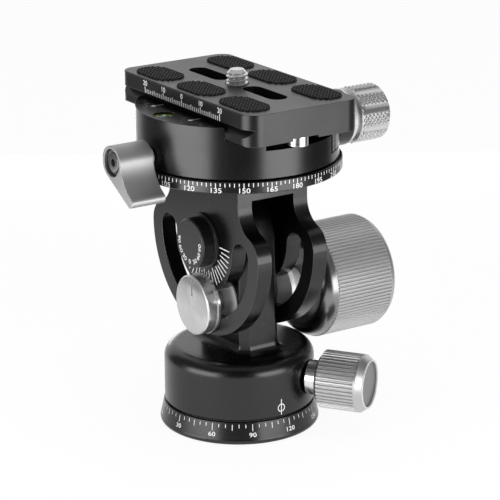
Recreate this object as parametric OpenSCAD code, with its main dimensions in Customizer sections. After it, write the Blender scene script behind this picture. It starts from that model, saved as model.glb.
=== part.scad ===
// Monopod head: a two-way tilting head between two turning scale bases.
// A flared base carries a lower pan with a stem. A fork tilts on the stem and is
// clamped through two arc slots. A dial on the fork carries a dovetail clamp that
// turns, and the clamp holds a quick release plate.
// Millimetres. +Z is up. The origin is the middle of the base's underside.
// +X points to the large knob, -X to the pointer disc and -Y to the near plate end.

/* [Base] */
// Widest radius of the flared skirt
base_r = 23.9; // [23:0.1:28]
// Radius of the skirt at its upper rim
base_top_r = 22.7; // [21.5:0.1:23]
// Height of the base
base_h = 6.7; // [6:0.1:10]
// Rounding at the foot of the skirt
base_foot_r = 1.2; // [0.5:0.1:2]
// Major diameter of the threaded hole underneath, 3/8 inch
base_thread_d = 9.525; // [6.35:0.005:9.525]
// Depth of the threaded hole
base_thread_depth = 11; // [8:0.5:14]

/* [Lower pan] */
// Radius of the lower pan
pan_r = 22.45; // [22:0.05:26]
// Height of the lower pan
pan_h = 17.1; // [16.5:0.1:24]
// Rounding of the upper edge
pan_round = 4; // [2:0.1:5]
// Gap that shows between the base and the pan
pan_gap = 0.4; // [0.3:0.1:0.8]
// Radius of the spigot's shaft
spigot_r = 11; // [10:0.1:12]
// Radius of the spigot's head
spigot_head_r = 14.5; // [13.5:0.1:14.8]
// Height of the spigot's head
spigot_head_h = 10.2; // [8:0.1:10.5]
// Thickness of the plate that traps the spigot
retainer_t = 3; // [2.5:0.1:3.5]

/* [Pan lock knob] */
// Direction of the knob, in degrees from +X
pan_knob_angle = -55; // [-80:1:-30]
// Radius over the ribs
pan_knob_r = 8.7; // [7.5:0.1:9]
// Length of the knob
pan_knob_l = 14.9; // [11:0.1:16]
// Radius of the plain collar behind the knob
pan_collar_r = 5.3; // [4.5:0.1:6]
// Length of the collar
pan_collar_l = 3.6; // [2.5:0.1:5]
// Number of ribs
pan_knob_ribs = 44; // [30:1:60]

/* [Stem and tilt] */
// Half width of the stem across the tilt axis's direction
stem_half_x = 6.7; // [6.3:0.1:7]
// Half depth of the stem, which is also the radius of its round top
stem_half_y = 12.7; // [12:0.1:13.2]
// Chamfer on the stem's upright edges
stem_chamfer = 2.3; // [1:0.1:3]
// Height of the tilt axis above the lower pan
stem_rise = 33.6; // [31.5:0.1:37]
// Radius of the pivot shaft
pivot_r = 4; // [3.5:0.1:4.5]
// Radius of the clamp bolt
bolt_r = 3; // [2.5:0.1:3.2]

/* [Fork] */
// Thickness of one cheek
cheek_t = 4.8; // [4:0.1:5.5]
// Radius of the cheeks about the tilt axis
cheek_r = 28.4; // [27.8:0.1:29]
// Half width of the neck above the cheeks
neck_half_y = 18.3; // [17.8:0.1:19]
// Rounding of the cheek's shoulders
shoulder_r = 6.8; // [5:0.1:8]
// Fillet between the shoulders and the neck
neck_fillet = 7.9; // [5:0.1:8.5]
// Middle radius of the arc slots
slot_r = 19.2; // [19:0.1:20]
// Width of the arc slots
slot_w = 8.5; // [8:0.1:9]
// Height of the fork's opening above the tilt axis
fork_top = 15.6; // [14:0.1:18]
// Thickness of the bridge over the opening
bridge_t = 5.46; // [5:0.01:7]
// Radius of the pivot caps
cap_r = 7.4; // [7:0.1:8]
// Height of the pivot caps
cap_h = 5; // [4.5:0.1:6]

/* [Tilt lock] */
// Radius of the pointer disc
pointer_r = 9.15; // [8:0.05:10]
// Thickness of the pointer disc
pointer_t = 4.35; // [3.5:0.05:5]
// Radius over the ribs of the large knob
tilt_knob_r = 17.3; // [15:0.1:17.6]
// Length of the large knob
tilt_knob_l = 26.5; // [20:0.1:28]
// Length of the collar between the cheek and the knob
knob_collar_l = 7.9; // [6:0.1:9]
// Radius of the collar
knob_collar_r = 5.2; // [4.5:0.1:5.5]
// Depth of the pockets in the stem's sides
pocket_d = 3; // [2:0.1:3.2]
// Radius of those pockets
pocket_r = 9.6; // [7:0.1:9.8]
// Number of ribs on the large knob
tilt_knob_ribs = 96; // [60:1:120]

/* [Dial and clamp] */
// Radius of the dial
dial_r = 30.7; // [30.2:0.1:33]
// Height of the dial
dial_h = 3.48; // [3:0.02:5]
// Radius of the clamp
clamp_r = 29.7; // [29:0.1:30]
// Height from the clamp's underside to the ledge under the plate
ledge_h = 11.5; // [11:0.1:13]
// Height from the ledge to the top of the jaws
jaw_h = 3.6; // [3:0.1:3.8]
// Depth of the middle channel below the ledge
channel_d = 3.3; // [3:0.1:3.6]
// Place of the channel's edge beside the fixed jaw
channel_edge = -9; // [-12:0.1:-8]
// Place of the wall between the clamp and the moving jaw
jaw_split = 15.5; // [14.5:0.1:16.5]
// Height from the clamp's underside to the moving jaw's seat
jaw_seat_h = 2.8; // [2.5:0.1:3.5]
// Travel of the moving jaw
jaw_travel = 4; // [3:0.1:4.5]
// Half length of the jaws' lips
lip_half_y = 22.4; // [20:0.1:23]
// Radius of the jaw screw
jaw_screw_r = 2.5; // [2:0.1:3]
// Distance of the level's middle from the clamp's rim
level_inset = 4.6; // [4.2:0.1:5.2]
// Radius of the round level
level_r = 3.5; // [3:0.1:3.8]

/* [Clamp knob] */
// Radius of the knob
clamp_knob_r = 8.8; // [8:0.1:9.5]
// Length of the knob
clamp_knob_l = 11.8; // [9:0.1:14]
// Radius of the jaw's boss behind the knob
jaw_boss_r = 8.5; // [7:0.1:8.8]
// Distance of the boss's outer face from the clamp's rim
jaw_boss_out = 6.5; // [4.5:0.1:10]
// Thickness of the washer between them
clamp_washer_t = 2.2; // [1.5:0.1:3]
// Number of smooth flutes
clamp_knob_flutes = 6; // [4:1:8]

/* [Lock lever] */
// Place of the lever's axis across the clamp
lever_y = 0; // [-3:0.1:3]
// Height of the lever's axis above the clamp's underside
lever_h = 3.6; // [3.5:0.1:4.2]
// Radius of the lever's hub
lever_r = 4.9; // [4.5:0.1:5.5]
// Distance from the hub's axis to the middle of the tip
lever_reach = 13.6; // [11:0.1:15]
// Radius of the tip
lever_tip_r = 1.5; // [1:0.1:1.8]
// Width of the lever along its axis
lever_w = 10.9; // [8:0.1:12]
// Gap between the clamp's rim and the lever's inner face
lever_gap = 2; // [1.8:0.1:6]
// Angle of the lever below the horizontal
lever_hang = 45; // [0:1:90]

/* [Plate] */
// Width of the plate
plate_w = 38; // [37:0.1:39]
// Length of the plate
plate_l = 70; // [60:1:80]
// Thickness of the plate
plate_t = 9.13; // [8.8:0.01:10]
// Thickness of the upper flange
flange_t = 4.33; // [4:0.01:5]
// Height of the lower rail's upright side
rail_h = 2.2; // [2:0.1:2.4]
// Depth of the grooves in the long sides
groove_d = 2.2; // [1.8:0.1:2.2]
// Rounding of the upright corners
plate_corner = 4.5; // [3:0.1:6]
// Width of the two slots
plate_slot_w = 6.1; // [5:0.1:7]
// Length of the two slots
plate_slot_l = 18.2; // [14:0.1:19]
// Distance of the slots' middles from the screw
plate_slot_y = 14.4; // [14:0.1:16]
// Width of a rubber pad
pad_w = 9.6; // [8:0.1:10]
// Length of a rubber pad
pad_l = 18; // [15:0.1:19]
// Distance of the pads' middles from the plate's middle line
pad_x = 12.3; // [12:0.1:13]
// Distance between the middles of neighbouring pads
pad_pitch = 22.4; // [21:0.1:23]
// Height of the pads above the plate
pad_proud = 0.4; // [0.2:0.1:0.8]
// Major diameter of the camera screw, 1/4 inch
camera_thread_d = 6.35; // [6.35:0.01:6.35]
// Height of the camera screw above the plate
camera_screw_h = 4.3; // [3.5:0.1:5.5]
// Distance of the stop screws from the plate's ends
stop_inset = 4; // [3.6:0.1:6]

/* [Clearances] */
// Radial play of a turning shaft in its hole
run_fit = 0.05; // [0.03:0.01:0.1]
// Radial play of a pressed or screwed shaft in its hole
snug_fit = 0.02; // [0.01:0.01:0.03]
// Gap between flat faces that slide
slide_gap = 0.15; // [0.1:0.01:0.2]
// Gap between curved faces of pieces that move past each other
clear_gap = 0.3; // [0.25:0.01:0.35]

/* [Hidden] */
$fn = 64;
black = "#232325";
silver = "#b9bab8";
grey = "#8a8a89";
steel = "#d2d2cf";
brass = "#b48a46";
rubber = "#1c1c1d";
eps = 0.01;
edge = 0.4;
fine_edge = 0.3;
dial_edge = 0.2;
film = 0.05;
disc_sink = 0.3;
far = 100;

// Heights, from the base up
pan_z = base_h + pan_gap;
pan_top = pan_z + pan_h;
retainer_z = pan_z + pan_gap;
head_z = retainer_z + retainer_t + slide_gap;
head_top = head_z + spigot_head_h;
pan_lock_z = head_z + spigot_head_h / 2;
pivot_z = pan_top + stem_rise;
bolt_z = pivot_z - slot_r;
bridge_z = pivot_z + fork_top;
dial_z = bridge_z + bridge_t;
dial_top = dial_z + dial_h;
clamp_z = dial_top + clear_gap;
ledge_z = clamp_z + ledge_h;
jaw_top = ledge_z + jaw_h;
channel_z = ledge_z - channel_d;
jaw_seat_z = clamp_z + jaw_seat_h;
plate_z = ledge_z + slide_gap;
plate_top = plate_z + plate_t;

// Lower pan and its lock
boss_r = base_thread_d / 2 + 1.8;
base_screw_r = 1.25;
base_screw_head_r = 2.1;
base_screw_head_t = 2;
base_screw_grip = 4;
base_screw_place = boss_r + base_screw_head_r + clear_gap;
base_screw_turn = 30;
retainer_screw_r = 1.2;
retainer_screw_head_r = 1.9;
retainer_screw_grip = 2.2;
retainer_turn = pan_knob_angle + 45;
screw_sink = 0.1;
retainer_screw_place = spigot_head_r + retainer_screw_r + 0.8;
retainer_r = retainer_screw_place + retainer_screw_head_r + 0.5;
washer_in = retainer_r + 0.4;
washer_w = 2.35;
washer_rim = 0.8;
pan_out = max(pan_r, washer_in + washer_w + washer_rim);
washer_out = pan_out - washer_rim;
pan_screw_r = 2.5;
shoe_r = pan_screw_r;
shoe_l = 2.6;
pan_collar_at = pan_out + clear_gap;
pan_knob_at = pan_collar_at + pan_collar_l;
pan_knob_inset_r = pan_knob_r - 1.9;
pan_knob_end_t = 1.4;
pan_knob_back = 0.9;
pan_knob_rim = 2.4;
pan_rib_d = 0.5;

// Fork, pivot and tilt lock
stem_flare = 2.6;
foot_steps = 4;
friction_t = 0.35;
cheek_in = stem_half_x + friction_t + slide_gap;
cheek_out = cheek_in + cheek_t;
pivot_head_r = pivot_r + 1.8;
pivot_head_t = 2.8;
pivot_bush_t = 1.4;
pivot_bush_l = stem_half_x - 1;
cap_foot_h = 0.8;
cap_foot_w = 0.9;
pocket_floor = stem_half_x - pocket_d;
thrust_r = pocket_r - clear_gap;
friction_r = min(stem_half_y - stem_chamfer, slot_r - thrust_r - clear_gap);
slot_drop = 0.55;
collar_flange_r = slot_r - cap_r - cap_foot_w - clear_gap;
collar_flange_t = 1.6;
pointer_back_t = 0.9;
groove_in = 0.7;
pointer_x = cheek_out + slide_gap;
knob_x = pointer_x + knob_collar_l;
knob_end = knob_x + tilt_knob_l;
knob_round = 4.6;
knob_back_round = 2.4;
tilt_rib_d = 0.35;
insert_r = bolt_r + 2.2;
insert_l = 14;
knob_cap_r = tilt_knob_r - 4;
knob_cap_t = 1.6;

// Clamp, top pan and lever
top_spigot_r = 7;
top_head_r = 9;
top_retainer_t = 1.2;
top_retainer_r = 13.4;
top_retainer_z = clamp_z + slide_gap;
top_head_z = top_retainer_z + top_retainer_t + slide_gap;
top_head_top = clamp_z + ledge_h - channel_d - 1.2;
top_screw_r = 1.1;
top_screw_place = 11.1;
top_screw_turn = 45;
top_screw_head_r = 1.8;
top_screw_grip = 2.5;
top_washer_in = 20;
top_washer_out = 26;
top_washer_sink = 0.5;
level_d = 3.2;
level_wall = 0.6;
level_floor = 0.8;
vial_sink = 0.2;
clamp_washer_r = clamp_knob_r - 1;
washer_edge = 0.5;
knob_in_edge = 0.8;
knob_out_edge = 1.2;
flute_r = 2.2;
flute_d = 0.9;
spigot_bolt_r = 2.5;
spigot_bolt_head_r = 4.6;
spigot_bolt_head_t = 3;
spigot_bolt_grip = 8;
spigot_bolt_l = bridge_t + spigot_bolt_grip;
dial_screw_r = 1.25;
dial_screw_head_r = 2.2;
dial_screw_head_t = 1.6;
dial_screw_l = 4;
dial_screw_x = cheek_in + cheek_t / 2;
dial_screw_y = 14;
lever_x = max(clamp_r + lever_gap, dial_r + clear_gap);
lever_z = clamp_z + lever_h;
lever_screw_r = 2;
lever_head_r = 3.7;
lever_head_t = 3;
lever_head_sink = 0.5;
lever_seat = lever_x + lever_w - lever_head_t - lever_head_sink;
lever_bore_r = 4.1;
lever_hollow_r = 12;
lever_tuck = 0.02;
stud_r = 2;
stud_step = 0.7;
top_shoe_l = 3;
jaw_axis_z = clamp_z + 5.4;
rail_x = plate_w / 2 + slide_gap;
lip_x = rail_x - jaw_h + rail_h + film;
level_place = max(clamp_r - level_inset, rail_x + level_r + clear_gap);
jaw_gap = 0.9;
jaw_seat_gap = 0.4;
jaw_face = jaw_split + jaw_gap;
jaw_groove_w = 0.5;
jaw_groove_d = 0.8;
jaw_groove_x = jaw_face + 1.5;
guide_r = 1.75;
guide_wall = 2.8;
guide_in = 9;
guide_out = jaw_travel + 0.6;
guide_end = jaw_split + guide_out;
guide_y = sqrt(clamp_r * clamp_r - pow(guide_end + clear_gap, 2)) - guide_r - guide_wall;
spring_wire = 0.5;
spring_play = 0.25;
spring_r = guide_r + spring_play + spring_wire / 2;
spring_turns = 5;
spring_l = 3;
jaw_boss_x = clamp_r + jaw_boss_out;
neck_start = 4;
neck_depth = 6;
boss_start = dial_r + 2 * clear_gap;
jaw_thread_end = top_head_r + 1.2;

// Plate and screws
camera_r = camera_thread_d / 2;
camera_head_r = 6.4;
camera_head_t = 3;
thread_depth = 0.6;
camera_neck_r = camera_r - thread_depth;
camera_tip = 0.6;
driver_slot_w = 1.4;
driver_slot_d = 1.2;
clip_t = 0.6;
head_room = 0.5;
plate_recess_z = plate_z + camera_head_t + clip_t + head_room;
plate_channel_w = 8.7;
plate_channel_d = 0.7;
stop_r = 2.9;
stop_h = 2.4;
stop_shank_r = 1.4;
stop_grip = 3;
pad_sink = 0.8;

// Shapes that repeat

// Rod along +X from x0 to x1.
module rod_x(x0, x1, r)
    translate([x0, 0, 0]) rotate([0, 90, 0]) cylinder(h = x1 - x0, r = r);

// Upright tube.
module tube(z0, z1, r_out, r_in)
    difference() {
        translate([0, 0, z0]) cylinder(h = z1 - z0, r = r_out);
        translate([0, 0, z0 - 1]) cylinder(h = z1 - z0 + 2, r = r_in);
    }

// Tube along +X.
module tube_x(x0, x1, r_out, r_in)
    difference() {
        rod_x(x0, x1, r_out);
        rod_x(x0 - 1, x1 + 1, r_in);
    }

// Outline in (y, z), pushed from x0 to x1.
module along_x(x0, x1)
    translate([x0, 0, 0]) rotate([90, 0, 90]) linear_extrude(x1 - x0) children();

// Outline in (x, z), pushed along Y by a half length to each side.
module along_y(half)
    rotate([90, 0, 0]) translate([0, 0, -half]) linear_extrude(2 * half) children();

// Outline of (radius, height) turned about the axis that points along +X.
module turned_x() rotate([0, 90, 0]) rotate_extrude() children();

// Copies of the children at equal angles about Z.
module ring_of(n, radius, start = 0)
    for (i = [0:n - 1])
        rotate([0, 0, start + i * 360 / n]) translate([radius, 0, 0]) children();

// Stadium with its long side along Y.
module stadium(w, l) {
    square([w, l - w], center = true);
    for (s = [-1, 1]) translate([0, s * (l - w) / 2]) circle(d = w);
}

// Rectangle with round corners.
module round_rect(w, l, r) {
    square([w - 2 * r, l], center = true);
    square([w, l - 2 * r], center = true);
    for (sx = [-1, 1], sy = [-1, 1])
        translate([sx * (w / 2 - r), sy * (l / 2 - r)]) circle(r = r);
}

// Ring of straight ribs: an outline with one ridge per rib.
module ribbed(r, depth, n)
    polygon([for (i = [0:n - 1], p = [[0, -depth], [0.2, 0], [0.6, 0], [0.8, -depth]])
        (r + p[1]) * [cos((i + p[0]) * 360 / n), sin((i + p[0]) * 360 / n)]]);

// Socket head or plain screw standing on z = 0: the head below, the shank above.
module screw(shank_r, shank_l, head_r, head_t) {
    translate([0, 0, -head_t]) difference() {
        cylinder(h = head_t, r = head_r);
        translate([0, 0, -1]) cylinder(h = 1 + head_t / 2, r = head_r * 0.5, $fn = 6);
    }
    translate([0, 0, -eps]) cylinder(h = shank_l + eps, r = shank_r);
}

// Axis of the pan lock knob: the children lie along +X from the pan's middle.
module on_pan_lock()
    translate([0, 0, pan_lock_z]) rotate([0, 0, pan_knob_angle]) children();

// Places along other axes
module on_bolt() translate([0, 0, bolt_z]) children();
module on_pivot() translate([0, 0, pivot_z]) children();
module on_lever() translate([0, lever_y, lever_z]) children();
module on_jaw_screw() translate([0, 0, jaw_axis_z]) children();

// Base

module base_ring() color(black)
    difference() {
        rotate_extrude() {
            polygon([[0, 0], [base_r - base_foot_r, 0], [base_r, base_foot_r],
                [base_top_r, base_h], [0, base_h]]);
            translate([base_r - base_foot_r, base_foot_r]) circle(r = base_foot_r);
        }
        translate([0, 0, -1]) cylinder(h = base_h + 2, r = boss_r + snug_fit);
        ring_of(3, base_screw_place, base_screw_turn) {
            translate([0, 0, -1]) cylinder(h = base_h + 2, r = base_screw_r + snug_fit);
            translate([0, 0, -1]) cylinder(h = base_h / 2 + 1, r = base_screw_head_r + snug_fit);
        }
    }

module pan_spigot() color(steel)
    difference() {
        union() {
            cylinder(h = base_h + eps, r = boss_r);
            translate([0, 0, base_h]) cylinder(h = head_z - base_h + eps, r = spigot_r);
            translate([0, 0, head_z]) cylinder(h = spigot_head_h, r = spigot_head_r);
        }
        translate([0, 0, -1]) cylinder(h = base_thread_depth + 1, r = base_thread_d / 2);
        ring_of(3, base_screw_place, base_screw_turn)
            translate([0, 0, base_h - 1]) cylinder(h = base_screw_grip + 2, r = base_screw_r + snug_fit);
    }

module base_screws() color(steel)
    ring_of(3, base_screw_place, base_screw_turn)
        translate([0, 0, base_h / 2])
            screw(base_screw_r, base_h / 2 + base_screw_grip, base_screw_head_r, base_screw_head_t);

// Lower pan and stem

module pan_outline() {
    crest = pan_out - pan_round;
    polygon([[0, pan_z], [pan_out - edge, pan_z], [pan_out, pan_z + edge],
        [pan_out, pan_top - pan_round], [crest, pan_top], [0, pan_top]]);
    translate([crest, pan_top - pan_round]) circle(r = pan_round);
}

module stem_outline(grow = 0) {
    x = stem_half_x + grow;
    y = stem_half_y + grow;
    c = stem_chamfer + grow / 2;
    polygon([[x, c - y], [x - c, -y], [c - x, -y], [-x, c - y],
        [-x, y - c], [c - x, y], [x - c, y], [x, y - c]]);
}

module stem_top()
    on_pivot() turned_x()
        polygon([[0, -stem_half_x], [stem_half_y - stem_chamfer, -stem_half_x],
            [stem_half_y, stem_chamfer - stem_half_x], [stem_half_y, stem_half_x - stem_chamfer],
            [stem_half_y - stem_chamfer, stem_half_x], [0, stem_half_x]]);

// Hollow fillet round the foot of the stem, in straight steps.
module stem_foot()
    for (i = [0:foot_steps - 1]) hull() {
        foot_slice(i * 90 / foot_steps);
        foot_slice((i + 1) * 90 / foot_steps);
    }

module foot_slice(angle)
    translate([0, 0, pan_top - eps + stem_flare * (1 - cos(angle))])
        linear_extrude(eps) stem_outline(stem_flare * (1 - sin(angle)));

module stem_body() color(black)
    difference() {
        union() {
            rotate_extrude() pan_outline();
            stem_foot();
            translate([0, 0, pan_top - 2]) linear_extrude(pivot_z - pan_top + 2) stem_outline();
            stem_top();
        }
        // Room for the spigot, its plate and the thrust washer
        translate([0, 0, pan_z - 1]) cylinder(h = head_top + slide_gap - pan_z + 1, r = spigot_head_r + run_fit);
        translate([0, 0, pan_z - 1]) cylinder(h = retainer_z + retainer_t - pan_z + 1, r = retainer_r + snug_fit);
        tube(pan_z - 1, pan_z + pan_gap, washer_out + snug_fit, washer_in - snug_fit);
        ring_of(4, retainer_screw_place, retainer_turn)
            translate([0, 0, retainer_z])
                cylinder(h = retainer_t + retainer_screw_grip + clear_gap, r = retainer_screw_r + snug_fit);
        // Radial hole of the lock screw
        on_pan_lock() rod_x(spigot_head_r - 1, pan_out + 2, pan_screw_r + run_fit);
        // Pivot bearings and clamp bolt
        on_pivot() rod_x(-far, far, pivot_r + pivot_bush_t + snug_fit);
        on_bolt() rod_x(-far, far, bolt_r + snug_fit);
        on_bolt() for (s = [0, 180]) rotate([0, 0, s]) rod_x(pocket_floor, far, pocket_r);
    }

module pan_washer() color("#e8e4d8")
    tube(base_h + film, pan_z + pan_gap - snug_fit, washer_out, washer_in);

module pan_retainer() color(steel)
    difference() {
        tube(retainer_z, retainer_z + retainer_t, retainer_r, spigot_r + run_fit);
        ring_of(4, retainer_screw_place, retainer_turn) {
            translate([0, 0, retainer_z - 1]) cylinder(h = retainer_t + 2, r = retainer_screw_r + snug_fit);
            translate([0, 0, retainer_z - 1])
                cylinder(h = retainer_t / 2 + 1, r = retainer_screw_head_r + snug_fit);
        }
    }

module retainer_screws() color(steel)
    ring_of(4, retainer_screw_place, retainer_turn)
        translate([0, 0, retainer_z + retainer_t / 2])
            screw(retainer_screw_r, retainer_t / 2 + retainer_screw_grip, retainer_screw_head_r,
                retainer_t / 2 - screw_sink);

module pan_brake_shoe() color(brass)
    difference() {
        on_pan_lock() rod_x(spigot_head_r - 1, spigot_head_r + clear_gap + shoe_l, shoe_r);
        translate([0, 0, pan_z]) cylinder(h = pan_h, r = spigot_head_r + clear_gap);
    }

module pan_lock_screw() color(steel)
    on_pan_lock() rod_x(spigot_head_r + clear_gap + shoe_l + screw_sink, pan_knob_at + pan_knob_l / 2, pan_screw_r);

module pan_lock_knob() color(silver)
    on_pan_lock() difference() {
        union() {
            rod_x(pan_collar_at, pan_knob_at + eps, pan_collar_r);
            translate([pan_knob_at, 0, 0]) turned_x() pan_knob_outline();
            translate([pan_knob_at + pan_knob_back, 0, 0]) rotate([90, 0, 90])
                linear_extrude(pan_knob_l - pan_knob_back - pan_knob_rim + eps)
                    ribbed(pan_knob_r - 2 * eps, pan_rib_d, pan_knob_ribs);
        }
        rod_x(pan_collar_at - 1, pan_knob_at + pan_knob_l / 2, pan_screw_r + snug_fit);
        rod_x(pan_knob_at + pan_knob_l - pan_knob_end_t, far, pan_knob_inset_r + snug_fit);
    }

// Outline of the pan knob: a sloped back edge, the ribs' root and a plain sloped rim.
module pan_knob_outline() {
    root = pan_knob_r - pan_rib_d;
    rim = pan_knob_l - pan_knob_rim;
    polygon([[0, 0], [root - pan_knob_back, 0], [root, pan_knob_back], [root, rim], [pan_knob_r, rim],
        [pan_knob_r, rim + 0.6], [pan_knob_inset_r + 0.6, pan_knob_l], [0, pan_knob_l]]);
}

module pan_knob_cap() color(grey)
    on_pan_lock()
        rod_x(pan_knob_at + pan_knob_l - pan_knob_end_t, pan_knob_at + pan_knob_l - disc_sink, pan_knob_inset_r);

// Pivot

module pivot_bush(side)
    color(brass) on_pivot() rotate([0, 0, side > 0 ? 0 : 180])
        tube_x(stem_half_x - pivot_bush_l, stem_half_x, pivot_r + pivot_bush_t, pivot_r + run_fit);

module pivot_bush_left() pivot_bush(-1);
module pivot_bush_right() pivot_bush(1);

module friction_washers() color("#e8e4d8")
    on_pivot() for (s = [0, 180]) rotate([0, 0, s])
        tube_x(stem_half_x, stem_half_x + friction_t, friction_r, pivot_r + run_fit);

module pivot_shaft() color(steel)
    on_pivot() {
        rod_x(-cheek_out - eps, cheek_out + pivot_head_t, pivot_r);
        rod_x(-cheek_out - pivot_head_t, -cheek_out, pivot_head_r);
    }

module pivot_nut() color(steel)
    on_pivot() difference() {
        translate([cheek_out, 0, 0]) rotate([0, 90, 0]) cylinder(h = pivot_head_t, r = pivot_head_r, $fn = 6);
        rod_x(0, far, pivot_r + snug_fit);
    }

module pivot_cap(side)
    color(black) on_pivot() rotate([0, 0, side > 0 ? 0 : 180]) difference() {
        union() {
            rod_x(cheek_out, cheek_out + cap_h - edge, cap_r);
            translate([cheek_out + cap_h - edge, 0, 0]) rotate([0, 90, 0])
                cylinder(h = edge, r1 = cap_r, r2 = cap_r - edge);
            rod_x(cheek_out, cheek_out + cap_foot_h, cap_r + cap_foot_w);
        }
        rod_x(0, cheek_out + pivot_head_t + clear_gap, pivot_head_r + clear_gap);
    }

module pivot_cap_left() pivot_cap(-1);
module pivot_cap_right() pivot_cap(1);

// Tilt lock

module thrust_bush(side)
    color(silver) on_bolt() rotate([0, 0, side > 0 ? 0 : 180])
        tube_x(pocket_floor, cheek_in - slide_gap, thrust_r, bolt_r + snug_fit);

module thrust_bush_left() thrust_bush(-1);
module thrust_bush_right() thrust_bush(1);

module clamp_bolt() color(steel)
    on_bolt() rod_x(-pointer_x - pointer_t / 2, knob_x + insert_l - 1, bolt_r);

module pointer_disc() color(silver)
    on_bolt() rotate([0, 0, 180]) difference() {
        translate([pointer_x, 0, 0]) turned_x()
            polygon([[0, 0], [pointer_r - fine_edge, 0], [pointer_r, fine_edge], [pointer_r, pointer_back_t],
                [pointer_r - groove_in, pointer_back_t + 0.2], [pointer_r - groove_in, pointer_back_t + 0.7],
                [pointer_r, pointer_back_t + 0.9], [pointer_r, pointer_t - edge],
                [pointer_r - edge, pointer_t], [0, pointer_t]]);
        rod_x(0, pointer_x + pointer_t / 2, bolt_r + snug_fit);
    }

module knob_collar() color(silver)
    on_bolt() difference() {
        union() {
            rod_x(pointer_x, knob_x - slide_gap, knob_collar_r);
            rod_x(pointer_x, pointer_x + collar_flange_t, collar_flange_r);
        }
        rod_x(0, far, bolt_r + snug_fit);
    }

module tilt_knob() color(grey)
    on_bolt() difference() {
        translate([knob_x, 0, 0]) {
            turned_x() tilt_knob_outline();
            translate([knob_round, 0, 0]) rotate([90, 0, 90])
                linear_extrude(tilt_knob_l - knob_round - knob_back_round)
                    ribbed(tilt_knob_r, tilt_rib_d, tilt_knob_ribs);
        }
        rod_x(knob_x - 1, knob_x + insert_l, insert_r + snug_fit);
        rod_x(knob_end - knob_cap_t, far, knob_cap_r + snug_fit);
    }

// Outline of the large knob: a round front shoulder and a round back edge.
module tilt_knob_outline() {
    r = tilt_knob_r - tilt_rib_d;
    polygon([[0, 0], [r - knob_round, 0], [r, knob_round], [r, tilt_knob_l - knob_back_round],
        [r - knob_back_round, tilt_knob_l], [0, tilt_knob_l]]);
    translate([r - knob_round, knob_round]) circle(r = knob_round);
    translate([r - knob_back_round, tilt_knob_l - knob_back_round]) circle(r = knob_back_round);
}

module tilt_knob_insert() color(brass)
    on_bolt() tube_x(knob_x, knob_x + insert_l, insert_r, bolt_r + run_fit);

module tilt_knob_cap() color(grey)
    on_bolt() rod_x(knob_end - knob_cap_t, knob_end - disc_sink, knob_cap_r);

// Fork

// One cheek: round below, with shoulders that sweep up into a narrower neck.
module cheek_outline() {
    side = cheek_r - shoulder_r;
    fillet_y = neck_half_y + neck_fillet;
    fillet_z = sqrt(pow(shoulder_r + neck_fillet, 2) - pow(fillet_y - side, 2));
    intersection() {
        circle(r = cheek_r);
        translate([-far, -far]) square([2 * far, far]);
    }
    translate([-neck_half_y, -eps]) square([2 * neck_half_y, dial_z - pivot_z + eps]);
    for (s = [-1, 1]) {
        translate([s * side, 0]) circle(r = shoulder_r);
        difference() {
            polygon(s > 0 ? [[0, -eps], [side, 0], [fillet_y, fillet_z], [0, fillet_z]]
                : [[0, -eps], [0, fillet_z], [-fillet_y, fillet_z], [-side, 0]]);
            translate([s * fillet_y, fillet_z]) circle(r = neck_fillet);
        }
    }
}

// Arc slot under the pivot, with round ends a little below the pivot's height.
module slot_outline() {
    difference() {
        circle(r = slot_r + slot_w / 2);
        circle(r = slot_r - slot_w / 2);
        translate([-far, -slot_drop]) square([2 * far, far]);
    }
    for (s = [-1, 1])
        translate([s * sqrt(slot_r * slot_r - slot_drop * slot_drop), -slot_drop]) circle(d = slot_w);
}

module tilt_yoke() color(black)
    difference() {
        union() {
            on_pivot() for (x = [-cheek_out, cheek_in])
                along_x(x, x + cheek_t) difference() {
                    cheek_outline();
                    slot_outline();
                }
            translate([-cheek_in - eps, -neck_half_y, bridge_z])
                cube([2 * cheek_in + 2 * eps, 2 * neck_half_y, bridge_t]);
        }
        on_pivot() rod_x(-far, far, pivot_r + snug_fit);
        translate([0, 0, bridge_z - 1]) cylinder(h = far, r = spigot_bolt_r + snug_fit);
        translate([0, 0, bridge_z - 1]) cylinder(h = 1 + spigot_bolt_head_t, r = spigot_bolt_head_r + snug_fit);
        dial_screw_places() translate([0, 0, dial_z - dial_screw_l])
            cylinder(h = far, r = dial_screw_r + snug_fit);
    }

module dial_screw_places()
    for (sx = [-1, 1], sy = [-1, 1])
        translate([sx * dial_screw_x, sy * dial_screw_y, 0]) children();

module top_dial() color(black)
    difference() {
        rotate_extrude()
            polygon([[top_spigot_r + snug_fit, dial_z], [dial_r - dial_edge, dial_z], [dial_r, dial_z + dial_edge],
                [dial_r, dial_top - fine_edge], [dial_r - fine_edge, dial_top],
                [top_spigot_r + snug_fit, dial_top]]);
        dial_screw_places() {
            translate([0, 0, dial_z - 1]) cylinder(h = far, r = dial_screw_r + snug_fit);
            translate([0, 0, dial_top - dial_screw_head_t]) cylinder(h = far, r = dial_screw_head_r + snug_fit);
        }
    }

module dial_screws() color(steel)
    dial_screw_places() translate([0, 0, dial_top - dial_screw_head_t]) rotate([180, 0, 0])
        screw(dial_screw_r, dial_h - dial_screw_head_t + dial_screw_l - 1, dial_screw_head_r,
            dial_screw_head_t - 2 * screw_sink);

module top_spigot() color(steel)
    difference() {
        union() {
            translate([0, 0, dial_z]) cylinder(h = top_head_z - dial_z + eps, r = top_spigot_r);
            translate([0, 0, top_head_z]) cylinder(h = top_head_top - top_head_z, r = top_head_r);
        }
        translate([0, 0, dial_z - 1]) cylinder(h = spigot_bolt_l - bridge_t + 2, r = spigot_bolt_r + snug_fit);
    }

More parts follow.
